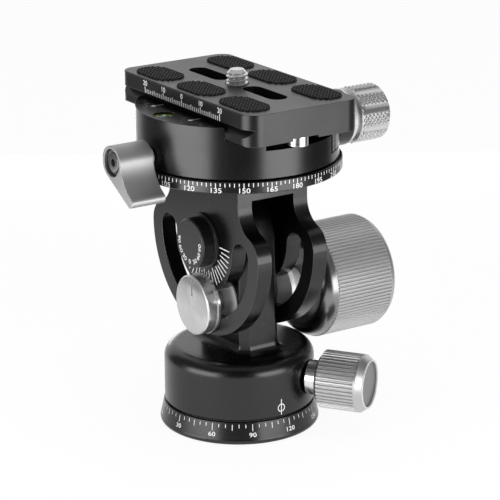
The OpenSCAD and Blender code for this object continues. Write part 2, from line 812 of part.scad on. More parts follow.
module spigot_screw() color(steel)
    translate([0, 0, bridge_z + spigot_bolt_head_t])
        screw(spigot_bolt_r, spigot_bolt_l - spigot_bolt_head_t, spigot_bolt_head_r,
            spigot_bolt_head_t - screw_sink);

// Clamp

// Space that the plate and the jaws' opening take, seen along the plate: the lips of
// the jaws lean over the plate's lower rails.
module plate_space()
    polygon([[-lip_x, far], [-lip_x, jaw_top], [-rail_x, jaw_top - (rail_x - lip_x)],
        [-rail_x, ledge_z], [rail_x, ledge_z], [rail_x, jaw_top - (rail_x - lip_x)],
        [lip_x, jaw_top], [lip_x, far]]);

module clamp_blank() {
    translate([0, 0, clamp_z]) cylinder(h = jaw_top - clamp_z, r = clamp_r);
}

// The lips end before the rim, so that the plate finds its way in.
module lip_ends()
    for (s = [-1, 1]) translate([-rail_x, s > 0 ? lip_half_y : -far, ledge_z])
        cube([2 * rail_x, far - lip_half_y, far]);

module clamp_body() color(black)
    difference() {
        clamp_blank();
        along_y(far) plate_space();
        lip_ends();
        translate([channel_edge, -far, channel_z]) cube([far, 2 * far, far]);
        translate([jaw_split, -far, jaw_seat_z]) cube([far, 2 * far, far]);
        // Room for the spigot and its plate
        translate([0, 0, clamp_z - 1]) cylinder(h = top_head_top + slide_gap - clamp_z + 1, r = top_head_r + run_fit);
        translate([0, 0, clamp_z - 1])
            cylinder(h = top_retainer_z + top_retainer_t - clamp_z + 1, r = top_retainer_r + snug_fit);
        tube(clamp_z - 1, clamp_z + top_washer_sink, top_washer_out + snug_fit, top_washer_in - snug_fit);
        ring_of(4, top_screw_place, top_screw_turn)
            translate([0, 0, top_retainer_z])
                cylinder(h = top_retainer_t + top_screw_grip + clear_gap, r = top_screw_r + snug_fit);
        // Lock lever, level, jaw screw and guide pins
        on_lever() rod_x(-far, -top_head_r / 2, stud_r + run_fit);
        level_place_at() translate([0, 0, -level_d]) cylinder(h = far, r = level_r + snug_fit);
        on_jaw_screw() rod_x(jaw_thread_end - 1, far, jaw_screw_r + run_fit);
        guide_places() rod_x(jaw_split - guide_in - 0.5, far, guide_r + snug_fit);
    }

module level_place_at() translate([-level_place, 0, jaw_top]) children();

module guide_places()
    for (s = [-1, 1]) translate([0, s * guide_y, jaw_axis_z]) children();

module top_pan_washer() color("#e8e4d8")
    tube(dial_top + film, clamp_z + top_washer_sink - snug_fit, top_washer_out, top_washer_in);

module top_retainer() color(steel)
    difference() {
        tube(top_retainer_z, top_retainer_z + top_retainer_t, top_retainer_r, top_spigot_r + run_fit);
        ring_of(4, top_screw_place, top_screw_turn) {
            translate([0, 0, top_retainer_z - 1]) cylinder(h = top_retainer_t + 2, r = top_screw_r + snug_fit);
            translate([0, 0, top_retainer_z - 1])
                cylinder(h = top_retainer_t / 2 + 1, r = top_screw_head_r + snug_fit);
        }
    }

module top_retainer_screws() color(steel)
    ring_of(4, top_screw_place, top_screw_turn)
        translate([0, 0, top_retainer_z + top_retainer_t / 2])
            screw(top_screw_r, top_retainer_t / 2 + top_screw_grip, top_screw_head_r,
                top_retainer_t / 2 - screw_sink);

module top_brake_shoe() color(brass)
    difference() {
        on_lever() rod_x(-top_head_r - top_shoe_l, -top_head_r / 2, stud_r);
        translate([0, 0, clamp_z]) cylinder(h = far, r = top_head_r + clear_gap);
    }

module level_cup() color(silver)
    level_place_at() difference() {
        translate([0, 0, -level_d]) cylinder(h = level_d, r = level_r);
        translate([0, 0, level_floor - level_d]) cylinder(h = far, r = level_r - level_wall);
    }

module level_vial() color("#a9c94a")
    level_place_at() translate([0, 0, level_floor - level_d])
        cylinder(h = level_d - level_floor - vial_sink, r = level_r - level_wall - snug_fit);

module jaw_guide_pins() color(steel)
    guide_places() rod_x(jaw_split - guide_in, guide_end, guide_r);

// Lock lever

module lever_stud() color(silver)
    on_lever() {
        rod_x(-lever_x, -top_head_r - top_shoe_l - screw_sink, stud_r);
        rod_x(-lever_x, -clamp_r - clear_gap, stud_r + stud_step);
    }

// Teardrop: a round hub, a straight flank, a round tip and a hollow flank that runs
// smoothly into both. The hub's axis is at the origin and the tip lies along +X.
module lever_outline() {
    lean = asin((lever_r - lever_tip_r) / lever_reach);
    to_hub = lever_r + lever_hollow_r;
    to_tip = lever_tip_r + lever_hollow_r;
    hollow_x = (to_hub * to_hub - to_tip * to_tip + lever_reach * lever_reach) / (2 * lever_reach);
    hollow_at = [hollow_x, -sqrt(to_hub * to_hub - hollow_x * hollow_x)];
    flank = [sin(lean), cos(lean)];
    circle(r = lever_r);
    translate([lever_reach, 0]) circle(r = lever_tip_r);
    difference() {
        polygon([[0, 0], hollow_at, [lever_reach, 0],
            [lever_reach, 0] + (lever_tip_r - lever_tuck) * flank, (lever_r - lever_tuck) * flank]);
        translate(hollow_at) circle(r = lever_hollow_r);
    }
}

module lock_lever() color(silver)
    on_lever() difference() {
        along_x(-lever_x - lever_w, -lever_x) rotate(180 + lever_hang) lever_outline();
        rod_x(-far, -lever_x + 1, lever_screw_r + snug_fit);
        rod_x(-far, -lever_seat, lever_bore_r);
    }

module lever_screw() color(steel)
    on_lever() translate([-lever_seat, 0, 0]) rotate([0, 90, 0])
        screw(lever_screw_r, lever_seat - lever_x - snug_fit, lever_head_r, lever_head_t);

// Moving jaw

module moving_jaw() color(black)
    difference() {
        union() {
            intersection() {
                clamp_blank();
                translate([jaw_face, -far, jaw_seat_z + jaw_seat_gap]) cube([far, 2 * far, far]);
            }
            on_jaw_screw() rod_x(boss_start, jaw_boss_x, jaw_boss_r);
            // Neck of the boss, above the dial's rim
            intersection() {
                on_jaw_screw() rod_x(jaw_face + neck_start, boss_start + 1, jaw_boss_r);
                translate([0, -far, clamp_z]) cube([far, 2 * far, far]);
                translate([clamp_r - neck_depth, -far, jaw_seat_z + jaw_seat_gap]) cube([far, 2 * far, jaw_boss_r * 2]);
            }
        }
        along_y(far) plate_space();
        lip_ends();
        on_jaw_screw() rod_x(0, far, jaw_screw_r + run_fit);
        guide_places() rod_x(0, guide_end + clear_gap, guide_r + run_fit);
        guide_places() rod_x(0, jaw_face + spring_l, spring_r + spring_wire + clear_gap);
        // Relief groove beside the jaw's face
        difference() {
            translate([jaw_groove_x, -far, clamp_z]) cube([jaw_groove_w, 2 * far, far]);
            translate([0, 0, clamp_z - 1]) cylinder(h = far, r = clamp_r - jaw_groove_d);
        }
    }

// Coil spring that stands round a guide pin, as one swept tube.
function spring_point(t) = [
    jaw_face + spring_wire / 2 + t * (spring_l - spring_wire),
    spring_r * cos(t * spring_turns * 360),
    spring_r * sin(t * spring_turns * 360)];

module coil_spring() {
    rings = spring_turns * 8;
    sides = 6;
    points = [for (i = [0:rings], j = [0:sides - 1]) let (
            t = i / rings,
            a = t * spring_turns * 360,
            c = spring_wire / 2 * cos(j * 360 / sides),
            w = spring_wire / 2 * sin(j * 360 / sides))
        spring_point(t) + [w, c * cos(a), c * sin(a)]];
    faces = [for (i = [0:rings - 1], j = [0:sides - 1]) let (
            k = (j + 1) % sides)
        each [[i * sides + j, i * sides + k, (i + 1) * sides + k],
            [i * sides + j, (i + 1) * sides + k, (i + 1) * sides + j]]];
    first = [for (j = [1:sides - 2]) [0, j + 1, j]];
    last = [for (j = [1:sides - 2]) [rings * sides, rings * sides + j, rings * sides + j + 1]];
    polyhedron(points, concat(faces, first, last));
}

module jaw_springs() color(steel) guide_places() coil_spring();

module jaw_screw() color(steel)
    on_jaw_screw() rod_x(jaw_thread_end, jaw_boss_x + clamp_washer_t + clamp_knob_l / 2, jaw_screw_r);

module clamp_washer() color(silver)
    on_jaw_screw() difference() {
        translate([jaw_boss_x + slide_gap, 0, 0]) turned_x()
            polygon([[0, 0], [clamp_washer_r - washer_edge, 0], [clamp_washer_r, washer_edge],
                [clamp_washer_r, clamp_washer_t - washer_edge - slide_gap],
                [clamp_washer_r - washer_edge, clamp_washer_t - slide_gap], [0, clamp_washer_t - slide_gap]]);
        rod_x(0, far, jaw_screw_r + snug_fit);
    }

module clamp_knob() color(silver)
    on_jaw_screw() translate([jaw_boss_x + clamp_washer_t, 0, 0]) difference() {
        turned_x()
            polygon([[0, 0], [clamp_knob_r - knob_in_edge, 0], [clamp_knob_r, knob_in_edge],
                [clamp_knob_r, clamp_knob_l - knob_out_edge], [clamp_knob_r - knob_out_edge, clamp_knob_l],
                [0, clamp_knob_l]]);
        rod_x(-1, clamp_knob_l / 2, jaw_screw_r + snug_fit);
        for (i = [0:clamp_knob_flutes - 1]) rotate([i * 360 / clamp_knob_flutes, 0, 0])
            translate([0, 0, clamp_knob_r + flute_r - flute_d]) rod_x(-1, clamp_knob_l + 1, flute_r);
    }

// Plate

module plate_outline() {
    w = plate_w / 2;
    groove_z = plate_z + rail_h;
    flange_z = plate_top - flange_t;
    polygon([for (s = [1, -1]) each s > 0
        ? [[w - edge, plate_z], [w, plate_z + edge], [w, groove_z], [w - groove_d, groove_z + groove_d],
            [w - groove_d, flange_z], [w, flange_z], [w, plate_top - edge], [w - edge, plate_top]]
        : [[edge - w, plate_top], [-w, plate_top - edge], [-w, flange_z], [groove_d - w, flange_z],
            [groove_d - w, groove_z + groove_d], [-w, groove_z], [-w, plate_z + edge], [edge - w, plate_z]]]);
}

module pad_places()
    for (sx = [-1, 1], j = [-1:1]) translate([sx * pad_x, j * pad_pitch, 0]) children();

module stop_places()
    for (s = [-1, 1]) translate([0, s * (plate_l / 2 - stop_inset), 0]) children();

module quick_release_plate() color("#56565a")
    difference() {
        intersection() {
            along_y(plate_l / 2) plate_outline();
            translate([0, 0, plate_z]) linear_extrude(plate_t) round_rect(plate_w, plate_l, plate_corner);
        }
        for (s = [-1, 1]) translate([0, s * plate_slot_y, 0]) linear_extrude(far * 2) stadium(plate_slot_w, plate_slot_l);
        translate([0, 0, plate_z - 1]) linear_extrude(plate_channel_d + 1)
            square([plate_channel_w, plate_l + 2], center = true);
        cylinder(h = far * 2, r = camera_r + clear_gap);
        translate([0, 0, plate_z - 1]) cylinder(h = plate_recess_z - plate_z + 1, r = camera_head_r + clear_gap);
        pad_places() translate([0, 0, plate_top - pad_sink]) linear_extrude(far)
            stadium(pad_w + 2 * snug_fit, pad_l + 2 * snug_fit);
        stop_places() translate([0, 0, plate_z - 1])
            cylinder(h = plate_channel_d + stop_grip + 1.5, r = stop_shank_r + snug_fit);
    }

module plate_pads() color(rubber)
    pad_places() translate([0, 0, plate_top - pad_sink]) linear_extrude(pad_sink + pad_proud) stadium(pad_w, pad_l);

module stop_screws() color(steel)
    stop_places() translate([0, 0, plate_z + plate_channel_d])
        screw(stop_shank_r, stop_grip, stop_r, stop_h + plate_channel_d);

module screw_clip() color(steel)
    difference() {
        tube(plate_recess_z - clip_t, plate_recess_z, camera_head_r, camera_neck_r + run_fit);
        translate([0, -camera_neck_r, plate_recess_z - clip_t - 1]) cube([far, 2 * camera_neck_r, clip_t + 2]);
    }

module camera_screw() color(steel) {
    head_z0 = plate_recess_z - clip_t - slide_gap - camera_head_t;
    difference() {
        union() {
            translate([0, 0, head_z0]) cylinder(h = camera_head_t, r = camera_head_r);
            translate([0, 0, head_z0]) cylinder(h = plate_top + eps - head_z0, r = camera_neck_r);
            translate([0, 0, plate_top]) cylinder(h = camera_screw_h - camera_tip, r = camera_r);
            translate([0, 0, plate_top + camera_screw_h - camera_tip])
                cylinder(h = camera_tip, r1 = camera_r, r2 = camera_r - camera_tip);
        }
        translate([-driver_slot_w / 2, -far, head_z0 - 1]) cube([driver_slot_w, 2 * far, driver_slot_d + 1]);
    }
}

base_ring();
pan_spigot();
base_screws();
stem_body();
pan_washer();
pan_retainer();
retainer_screws();
pan_brake_shoe();
pivot_bush_left();
pivot_bush_right();
friction_washers();
thrust_bush_left();
thrust_bush_right();
clamp_bolt();
pointer_disc();
knob_collar();
pan_lock_screw();
pan_lock_knob();
pan_knob_cap();
tilt_knob();
tilt_knob_insert();
tilt_knob_cap();
tilt_yoke();
pivot_shaft();
pivot_nut();
pivot_cap_left();
pivot_cap_right();
top_dial();
dial_screws();
top_spigot();
spigot_screw();
clamp_body();
top_pan_washer();
top_retainer();
top_retainer_screws();
top_brake_shoe();
level_cup();
level_vial();
jaw_guide_pins();
lever_stud();
lock_lever();
lever_screw();
moving_jaw();
jaw_springs();
jaw_screw();
clamp_washer();
clamp_knob();
quick_release_plate();
plate_pads();
stop_screws();
screw_clip();
camera_screw();
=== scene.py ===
# %% [markdown]
# # A monopod head, dressed piece by piece
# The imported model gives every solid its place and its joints. This lesson adds what a plain solid
# lacks: the finish of each metal, the printed scales, the threads, the knurl and the ribbed pads.
# The model is in metres, with +Z up, +X towards the large knob and the origin under the base.

# %% Load the frame
import math

import bpy
from mathutils import Matrix, Vector


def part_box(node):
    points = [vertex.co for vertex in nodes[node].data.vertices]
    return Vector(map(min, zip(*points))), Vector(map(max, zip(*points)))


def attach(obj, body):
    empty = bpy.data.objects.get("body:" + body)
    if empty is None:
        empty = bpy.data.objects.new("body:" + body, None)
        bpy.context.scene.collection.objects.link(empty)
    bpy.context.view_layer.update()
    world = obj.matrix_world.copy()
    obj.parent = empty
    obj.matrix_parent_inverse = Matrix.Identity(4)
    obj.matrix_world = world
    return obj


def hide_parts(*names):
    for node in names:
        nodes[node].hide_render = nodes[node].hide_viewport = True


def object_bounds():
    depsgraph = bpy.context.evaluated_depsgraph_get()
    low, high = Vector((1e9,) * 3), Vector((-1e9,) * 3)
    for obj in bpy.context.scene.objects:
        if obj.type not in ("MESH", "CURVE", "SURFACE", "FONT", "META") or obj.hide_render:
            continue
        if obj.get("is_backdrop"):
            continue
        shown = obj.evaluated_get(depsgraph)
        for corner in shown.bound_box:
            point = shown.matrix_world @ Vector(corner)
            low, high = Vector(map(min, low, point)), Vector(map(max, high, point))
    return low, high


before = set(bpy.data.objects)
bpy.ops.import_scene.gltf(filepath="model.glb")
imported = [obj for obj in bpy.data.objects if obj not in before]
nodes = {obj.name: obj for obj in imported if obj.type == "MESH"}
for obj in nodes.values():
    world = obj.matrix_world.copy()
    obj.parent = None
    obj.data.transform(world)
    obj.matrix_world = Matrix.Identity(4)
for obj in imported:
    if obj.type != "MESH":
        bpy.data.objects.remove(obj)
cad_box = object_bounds()
MM = 0.001
QUARTER_TURN = math.radians(90)
ALONG_X = (0.0, QUARTER_TURN, 0.0)
FACING_LEFT = (QUARTER_TURN, 0.0, -QUARTER_TURN)
print("solids in the frame:", len(nodes))

# %% [markdown]
# ## The camera
# A long lens from the front left, a little above the head. The place and the angles come from the
# plate, whose width and length are known: its four corners fix where the camera stood.

# %% Camera
camera_azimuth = math.radians(-33.507)
camera_elevation = math.radians(17.712)
camera_roll = math.radians(-0.3486)
camera_place = Vector((-362.05, -553.09, 263.79)) * MM

back = Vector((
    math.sin(camera_azimuth) * math.cos(camera_elevation),
    -math.cos(camera_azimuth) * math.cos(camera_elevation),
    math.sin(camera_elevation)))
right = Vector((math.cos(camera_azimuth), math.sin(camera_azimuth), 0.0))
up = back.cross(right)
turned_right = right * math.cos(camera_roll) + up * math.sin(camera_roll)
turned_up = up * math.cos(camera_roll) - right * math.sin(camera_roll)

lens = bpy.data.cameras.new("studio_camera")
lens.lens = 168.73
lens.sensor_width = 36.0
lens.clip_start = 0.01
lens.clip_end = 30.0
camera = bpy.data.objects.new("studio_camera", lens)
bpy.context.scene.collection.objects.link(camera)
facing = Matrix((turned_right, turned_up, back)).transposed()
camera.matrix_world = Matrix.Translation(camera_place) @ facing.to_4x4()
bpy.context.scene.camera = camera
bpy.context.scene.view_settings.view_transform = "Standard"
print("camera at", [round(v, 3) for v in camera_place])

# %% [markdown]
# ## Small helpers
# Operators act on whatever is selected, so every step starts by selecting one object alone. A
# finished piece has its place in its mesh, one material, and a body that it rides on.


# %% Helpers for pieces
def only(piece):
    """Select one object alone and make it the active one."""
    bpy.ops.object.select_all(action="DESELECT")
    piece.select_set(True)
    bpy.context.view_layer.objects.active = piece


def settle(piece):
    """Put the object's place, turn and scale into its mesh."""
    only(piece)
    bpy.ops.object.transform_apply(location=True, rotation=True, scale=True)
    return piece


def apply_modifiers(piece):
    """Apply every modifier, from the first to the last."""
    only(piece)
    for modifier in list(piece.modifiers):
        bpy.ops.object.modifier_apply(modifier=modifier.name)
    return piece


def join(pieces, name):
    """Make one object of several."""
    bpy.ops.object.select_all(action="DESELECT")
    for piece in pieces:
        piece.select_set(True)
    bpy.context.view_layer.objects.active = pieces[0]
    bpy.ops.object.join()
    joined = bpy.context.object
    joined.name = name
    return settle(joined)


def pick(piece, wanted=lambda part: True, what="FACE"):
    """Enter edit mode with those faces, edges or corners selected that are wanted."""
    only(piece)
    bpy.ops.object.mode_set(mode="EDIT")
    bpy.ops.mesh.select_mode(type=what)
    bpy.ops.mesh.select_all(action="DESELECT")
    bpy.ops.object.mode_set(mode="OBJECT")
    mesh = piece.data
    for part in {"FACE": mesh.polygons, "EDGE": mesh.edges, "VERT": mesh.vertices}[what]:
        part.select = wanted(part)
    bpy.ops.object.mode_set(mode="EDIT")


def leave():
    """Go back to object mode."""
    bpy.ops.object.mode_set(mode="OBJECT")


def tidy_normals(piece):
    """Merge doubled corners and turn all faces outwards."""
    pick(piece)
    bpy.ops.mesh.remove_doubles(threshold=1e-6)
    bpy.ops.mesh.select_all(action="SELECT")
    bpy.ops.mesh.normals_make_consistent(inside=False)
    leave()


def extrude(move):
    """Push what is selected out by a step, with new faces behind it."""
    bpy.ops.mesh.extrude_region_move(TRANSFORM_OT_translate={"value": move})


def inset(width):
    """Shrink the selected faces inwards by a width, with new faces round them."""
    bpy.ops.mesh.inset(thickness=width)


def resize(ratios, centre):
    """Scale what is selected about a centre."""
    bpy.ops.transform.resize(value=ratios, center_override=centre)


def strip(width, length, turn, place):
    """A flat strip of a width and a length, its middle at a place."""
    bpy.ops.mesh.primitive_plane_add(size=1.0, rotation=turn, location=place)
    flat = bpy.context.object
    flat.scale = (width, length, 1.0)
    return flat


def block(size, place):
    """A box of a size, its middle at a place."""
    bpy.ops.mesh.primitive_cube_add(size=1.0, location=place)
    bpy.context.object.scale = size
    return settle(bpy.context.object)


def bar(sides, radius, length, place, turn=(0.0, 0.0, 0.0)):
    """A cylinder with its middle at a place, upright if it isn't turned."""
    bpy.ops.mesh.primitive_cylinder_add(
        vertices=sides, radius=radius, depth=length, location=place, rotation=turn)
    return settle(bpy.context.object)


def disc(sides, radius, place, turn=(0.0, 0.0, 0.0)):
    """A flat disc, its middle at a place."""
    bpy.ops.mesh.primitive_circle_add(
        vertices=sides, radius=radius, fill_type="NGON", location=place, rotation=turn)
    return bpy.context.object


def flat_ring(sides, radius, width, place, turn):
    """A flat ring: a disc that is inset and loses its middle."""
    ring = settle(disc(sides, radius, place, turn))
    pick(ring)
    inset(width)
    bpy.ops.mesh.delete(type="FACE")
    leave()
    return ring


def smooth(piece, degrees):
    """Shade a piece smoothly, except over edges that are sharper than an angle."""
    only(piece)
    bpy.ops.object.shade_smooth_by_angle(angle=math.radians(degrees))


def soften(piece, width, segments, degrees=30):
    """Round the edges of a piece that are sharper than an angle."""
    bevel = piece.modifiers.new("soft_edges", "BEVEL")
    bevel.width = width
    bevel.segments = segments
    bevel.limit_method = "ANGLE"
    bevel.angle_limit = math.radians(degrees)
    apply_modifiers(piece)


def carve(piece, tool, operation="DIFFERENCE"):
    """Cut a piece with a tool, or trim it to the tool with INTERSECT, and clear the tool away."""
    cut = piece.modifiers.new("carve", "BOOLEAN")
    cut.operation = operation
    cut.solver = "EXACT"
    cut.object = tool
    apply_modifiers(piece)
    bpy.data.objects.remove(tool)


def twin(piece):
    """A copy of an object, with a mesh of its own."""
    copy = piece.copy()
    copy.data = piece.data.copy()
    bpy.context.scene.collection.objects.link(copy)
    return copy


def middle_height(low, high):
    """Height of the middle of a box, in millimetres."""
    return (low.z + high.z) / 2 / MM


def mount(piece, body, finish, slot, *stands_for):
    """Give a finished piece its material, its body and the solids that it stands for."""
    piece.data.materials.clear()
    piece.data.materials.append(finish)
    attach(piece, body)
    if stands_for:
        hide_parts(*stands_for)
    print(piece.name, "faces:", len(piece.data.polygons))


# %% [markdown]
# ## Colours and nodes
# Colours are written as the hex values that a paint program shows and turned to linear light once.
# One function adds a shader node, sets it and links it, so that each material reads from top to
# bottom like a recipe.


# %% Helpers for materials
def tone(hex_code, factor=1.0):
    """Linear colour of an sRGB hex code, made darker or lighter by a factor."""
    channels = [int(hex_code[i:i + 2], 16) / 255 for i in (1, 3, 5)]
    linear = [c / 12.92 if c <= 0.04045 else ((c + 0.055) / 1.055) ** 2.4 for c in channels]
    return (*[min(c * factor, 1.0) for c in linear], 1.0)


def source(value):
    """What an input is linked to or filled with: a node stands for its first output."""
    return value.outputs[0] if isinstance(value, bpy.types.Node) else value


def add_node(tree, kind, inputs=None, **settings):
    """Add one shader node, set it, and fill or link its inputs."""
    new = tree.nodes.new("ShaderNode" + kind)
    for key, value in settings.items():
        setattr(new, key, value)
    for key, value in (inputs or {}).items():
        value = source(value)
        if isinstance(value, bpy.types.NodeSocket):
            tree.links.new(value, new.inputs[key])
        else:
            new.inputs[key].default_value = value
    return new


def add_ramp(tree, factor, *stops):
    """Add a colour ramp with its stops in order."""
    ramp = add_node(tree, "ValToRGB", {"Fac": factor})
    elements = ramp.color_ramp.elements
    for element, (position, colour) in ((elements[0], stops[0]), (elements[1], stops[-1])):
        element.position = position
        element.color = colour
    for position, colour in stops[1:-1]:
        elements.new(position).color = colour
    return ramp


def feed(shader, inputs):
    """Link inputs of a shader to the nodes that drive them."""
    for key, value in inputs.items():
        shader.id_data.links.new(source(value), shader.inputs[key])


def new_material(name, metallic, roughness):
    """Start a material with its shader set, and return it with its node tree and shader."""
    material = bpy.data.materials.new(name)
    material.use_nodes = True
    shader = material.node_tree.nodes["Principled BSDF"]
    shader.inputs["Metallic"].default_value = metallic
    shader.inputs["Roughness"].default_value = roughness
    return material, material.node_tree, shader


# %% [markdown]
# ## Black anodised aluminium
# The castings are blasted with fine glass, then dyed and sealed. The eye gets a dark metal with a
# soft, wide shine, a faint grain, and edges that are a touch lighter, partly where handling has
# rubbed the dye thin and partly as a painted highlight along each edge. The grain of the real
# blasting is about 0.1 mm, too fine to show here, so it is drawn three times as coarse. The rounded
# edge comes from a Bevel node, which leaves the solids alone. The stem's edges are rounder than the
# others, with less wear and a fainter painted highlight, so it has a finish of its own.


# %% Anodised aluminium
def anodised(name, body_tone, wear_and_highlight_tone, roughness, mottle=0.12, edge_mm=0.22, metallic=0.9):
    """Blasted and dyed aluminium with a fine grain and lighter edges: wear and a painted highlight.
    """
    grain_mm = 0.3
    cloud_mm = 11.0
    gloss_spread = 0.03
    material, tree, shader = new_material(name, metallic, roughness)
    place = add_node(tree, "TexCoord").outputs["Object"]
    grain = add_node(tree, "TexNoise", {
        "Vector": place, "Scale": 1 / (grain_mm * MM), "Detail": 2.0, "Roughness": 0.6})
    cloud = add_node(tree, "TexNoise", {
        "Vector": place, "Scale": 1 / (cloud_mm * MM), "Detail": 3.0, "Roughness": 0.5})
    round_edge = add_node(tree, "Bevel", {"Radius": edge_mm * MM}, samples=6)
    surface = add_node(tree, "NewGeometry")
    lean = add_node(tree, "VectorMath", {
        0: round_edge, 1: surface.outputs["Normal"]}, operation="DOT_PRODUCT")
    # Lighter edges: partly dye worn thin, partly a painted highlight along each edge.
    worn_and_highlit_edges = add_node(tree, "MapRange", {
        "Value": lean.outputs["Value"], "From Min": 0.985, "From Max": 0.86})
    patchy_wear_and_highlight = add_node(tree, "Math", {0: worn_and_highlit_edges, 1: cloud}, operation="MULTIPLY", use_clamp=True)
    dye = add_ramp(
        tree, grain, (0.3, tone(body_tone, 1 - mottle)), (0.7, tone(body_tone, 1 + mottle)))
    colour = add_node(tree, "MixRGB", {"Fac": patchy_wear_and_highlight, "Color1": dye, "Color2": tone(wear_and_highlight_tone)})
    gloss = add_node(tree, "MapRange", {
        "Value": cloud, "From Min": 0.3, "From Max": 0.7,
        "To Min": roughness - gloss_spread, "To Max": roughness + gloss_spread})
    bump = add_node(tree, "Bump", {
        "Height": grain, "Strength": 0.12, "Distance": 0.03 * MM, "Normal": round_edge})
    feed(shader, {"Base Color": colour, "Roughness": gloss, "Normal": bump})
    return material


black_body = anodised(
    "black_anodised_aluminium", "#404040", "#868686", 0.27, mottle=0.06, metallic=0.98)
black_stem = anodised(
    "black_anodised_stem", "#404040", "#5c5c5c", 0.27, mottle=0.06, edge_mm=0.8, metallic=0.98)
black_cap = anodised("black_anodised_cap", "#404040", "#808080", 0.32, mottle=0.08)
plate_grey = anodised("plate_anodised_aluminium", "#404040", "#8c8c8c", 0.36, mottle=0.05)
print("anodised finishes:", black_body.name, black_stem.name, black_cap.name, plate_grey.name)

# %% [markdown]
# ## Turned aluminium and steel
# A lathe leaves fine rings round the axis of a turned piece. On a flat end they throw the light into
# a fan that points at the middle, on a wall they stretch it along the axis. Anisotropy does this,
# with a tangent that runs round the axis. Knobs, bushes and washers are cut finer and do without it.
# Faint marks in the roughness are drawn 0.25 mm apart, coarser than a fine cut, so that they show: as
# rings on an end face, and as bands along the axis on a wall, where rings would break into speckles.


# %% Turned metal
def turned(name, metal_tone, roughness, axis, centre_mm, stretch=0.0, metallic=1.0, marks="RINGS"):
    """Metal from the lathe: RINGS for an end face, BANDS for a wall, round X, Y or Z."""
    mark_mm = 0.25
    wave_length = 0.314
    dust_mm = 2.5
    edge_mm = 0.2
    material, tree, shader = new_material(name, metallic, roughness)
    shader.inputs["Anisotropic"].default_value = stretch
    place = add_node(tree, "TexCoord").outputs["Object"]
    centred = add_node(tree, "Mapping", {
        "Vector": place, "Location": [-v * MM for v in centre_mm]}, vector_type="POINT")
    lathe_marks = add_node(
        tree, "TexWave", {
            "Vector": centred, "Scale": wave_length / (mark_mm * MM),
            "Distortion": 1.5, "Detail": 2.0, "Detail Scale": 1.0},
        wave_type=marks, rings_direction=axis, bands_direction=axis)
    dust = add_node(tree, "TexNoise", {
        "Vector": centred, "Scale": 1 / (dust_mm * MM), "Detail": 3.0})
    gloss = add_node(tree, "MapRange", {
        "Value": lathe_marks.outputs["Fac"], "To Min": roughness - 0.05, "To Max": roughness + 0.06})
    shade = add_ramp(tree, dust, (0.25, tone(metal_tone, 0.93)), (0.75, tone(metal_tone)))
    round_the_axis = add_node(tree, "Tangent", direction_type="RADIAL", axis=axis)
    round_edge = add_node(tree, "Bevel", {"Radius": edge_mm * MM}, samples=6)
    bump = add_node(tree, "Bump", {
        "Height": lathe_marks.outputs["Fac"], "Strength": 0.05, "Distance": 0.01 * MM,
        "Normal": round_edge})
    feed(shader, {
        "Base Color": shade, "Roughness": gloss, "Tangent": round_the_axis, "Normal": bump})
    return material


bolt_z = middle_height(*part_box("pointer_disc"))
pivot_z = middle_height(*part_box("pivot_cap_left"))
jaw_z = middle_height(*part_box("clamp_washer"))
lever_z = middle_height(*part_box("lever_screw"))
head_axis = (0, 0, 0)
bolt_axis = (0, 0, bolt_z)
jaw_axis = (0, 0, jaw_z)
lever_axis = (0, 0, lever_z)
spun_silver = turned(
    "spun_silver_aluminium", "#c4c4c4", 0.2, "X", bolt_axis, stretch=0.9, metallic=0.9)
rim_silver = turned(
    "turned_rim_aluminium", "#e8e8e8", 0.24, "X", bolt_axis, metallic=0.9, marks="BANDS")
# The bushes and the collar sit in shade; their near-white, hardly metallic colour is painted light.
lit_bush_silver = turned(
    "turned_bush_aluminium_painted_light", "#eeeeee", 0.34, "X", bolt_axis, metallic=0.3, marks="BANDS")
washer_silver = turned("turned_washer_aluminium", "#d6d6d6", 0.42, "X", jaw_axis, metallic=0.6)
knurl_silver = turned("knurled_silver_aluminium", "#d4d4d4", 0.34, "X", jaw_axis, metallic=0.95)
pan_knob_silver = turned("turned_silver_knob", "#c4c4c4", 0.36, "Z", head_axis, metallic=0.96)
turned_steel = turned("turned_stainless_steel", "#d6d6d6", 0.22, "Z", head_axis, stretch=0.6)
bolt_steel = turned(
    "rolled_steel_screw", "#dcdcdc", 0.26, "Z", head_axis, metallic=0.75, marks="BANDS")
# Zinc plating is light, and the low metallic and light tone are also painted light for the shaded
# stud.
plated_steel_painted_light = turned("zinc_plated_steel_painted_light", "#e0e0e0", 0.34, "Z", head_axis, metallic=0.6)
screw_steel = turned("socket_screw_steel", "#949494", 0.3, "X", lever_axis)
print("axes: bolt", round(bolt_z, 2), "pivot", round(pivot_z, 2), "jaw screw", round(jaw_z, 2),
      "lever", round(lever_z, 2))

# %% [markdown]
# ## The other finishes
# The large knob is grey anodising over clean machined aluminium, smoother than the black. The lever
# is blasted and left silver. The pads are nitrile rubber: dark, matt, with a fine moulded skin. The
# scales are white screen print. Nylon washers and brass shoes are small or hidden, but still get
# their own. The nylon washers are coloured dark grey as painted shade, so that no pale line shows
# in the seams.

# %% Knob and lever
knob_grey = anodised("grey_anodised_knob", "#b4b4b4", "#d2d2d2", 0.42, mottle=0.03, metallic=0.85)
knob_disc = anodised("grey_anodised_disc", "#7e7e7e", "#b0b0b0", 0.36, mottle=0.04, metallic=1.0)
lever_silver = anodised(
    "blasted_silver_aluminium", "#bebebe", "#eeeeee", 0.5, mottle=0.03, edge_mm=0.3, metallic=1.0)
print("knob and lever finishes:", knob_grey.name, knob_disc.name, lever_silver.name)


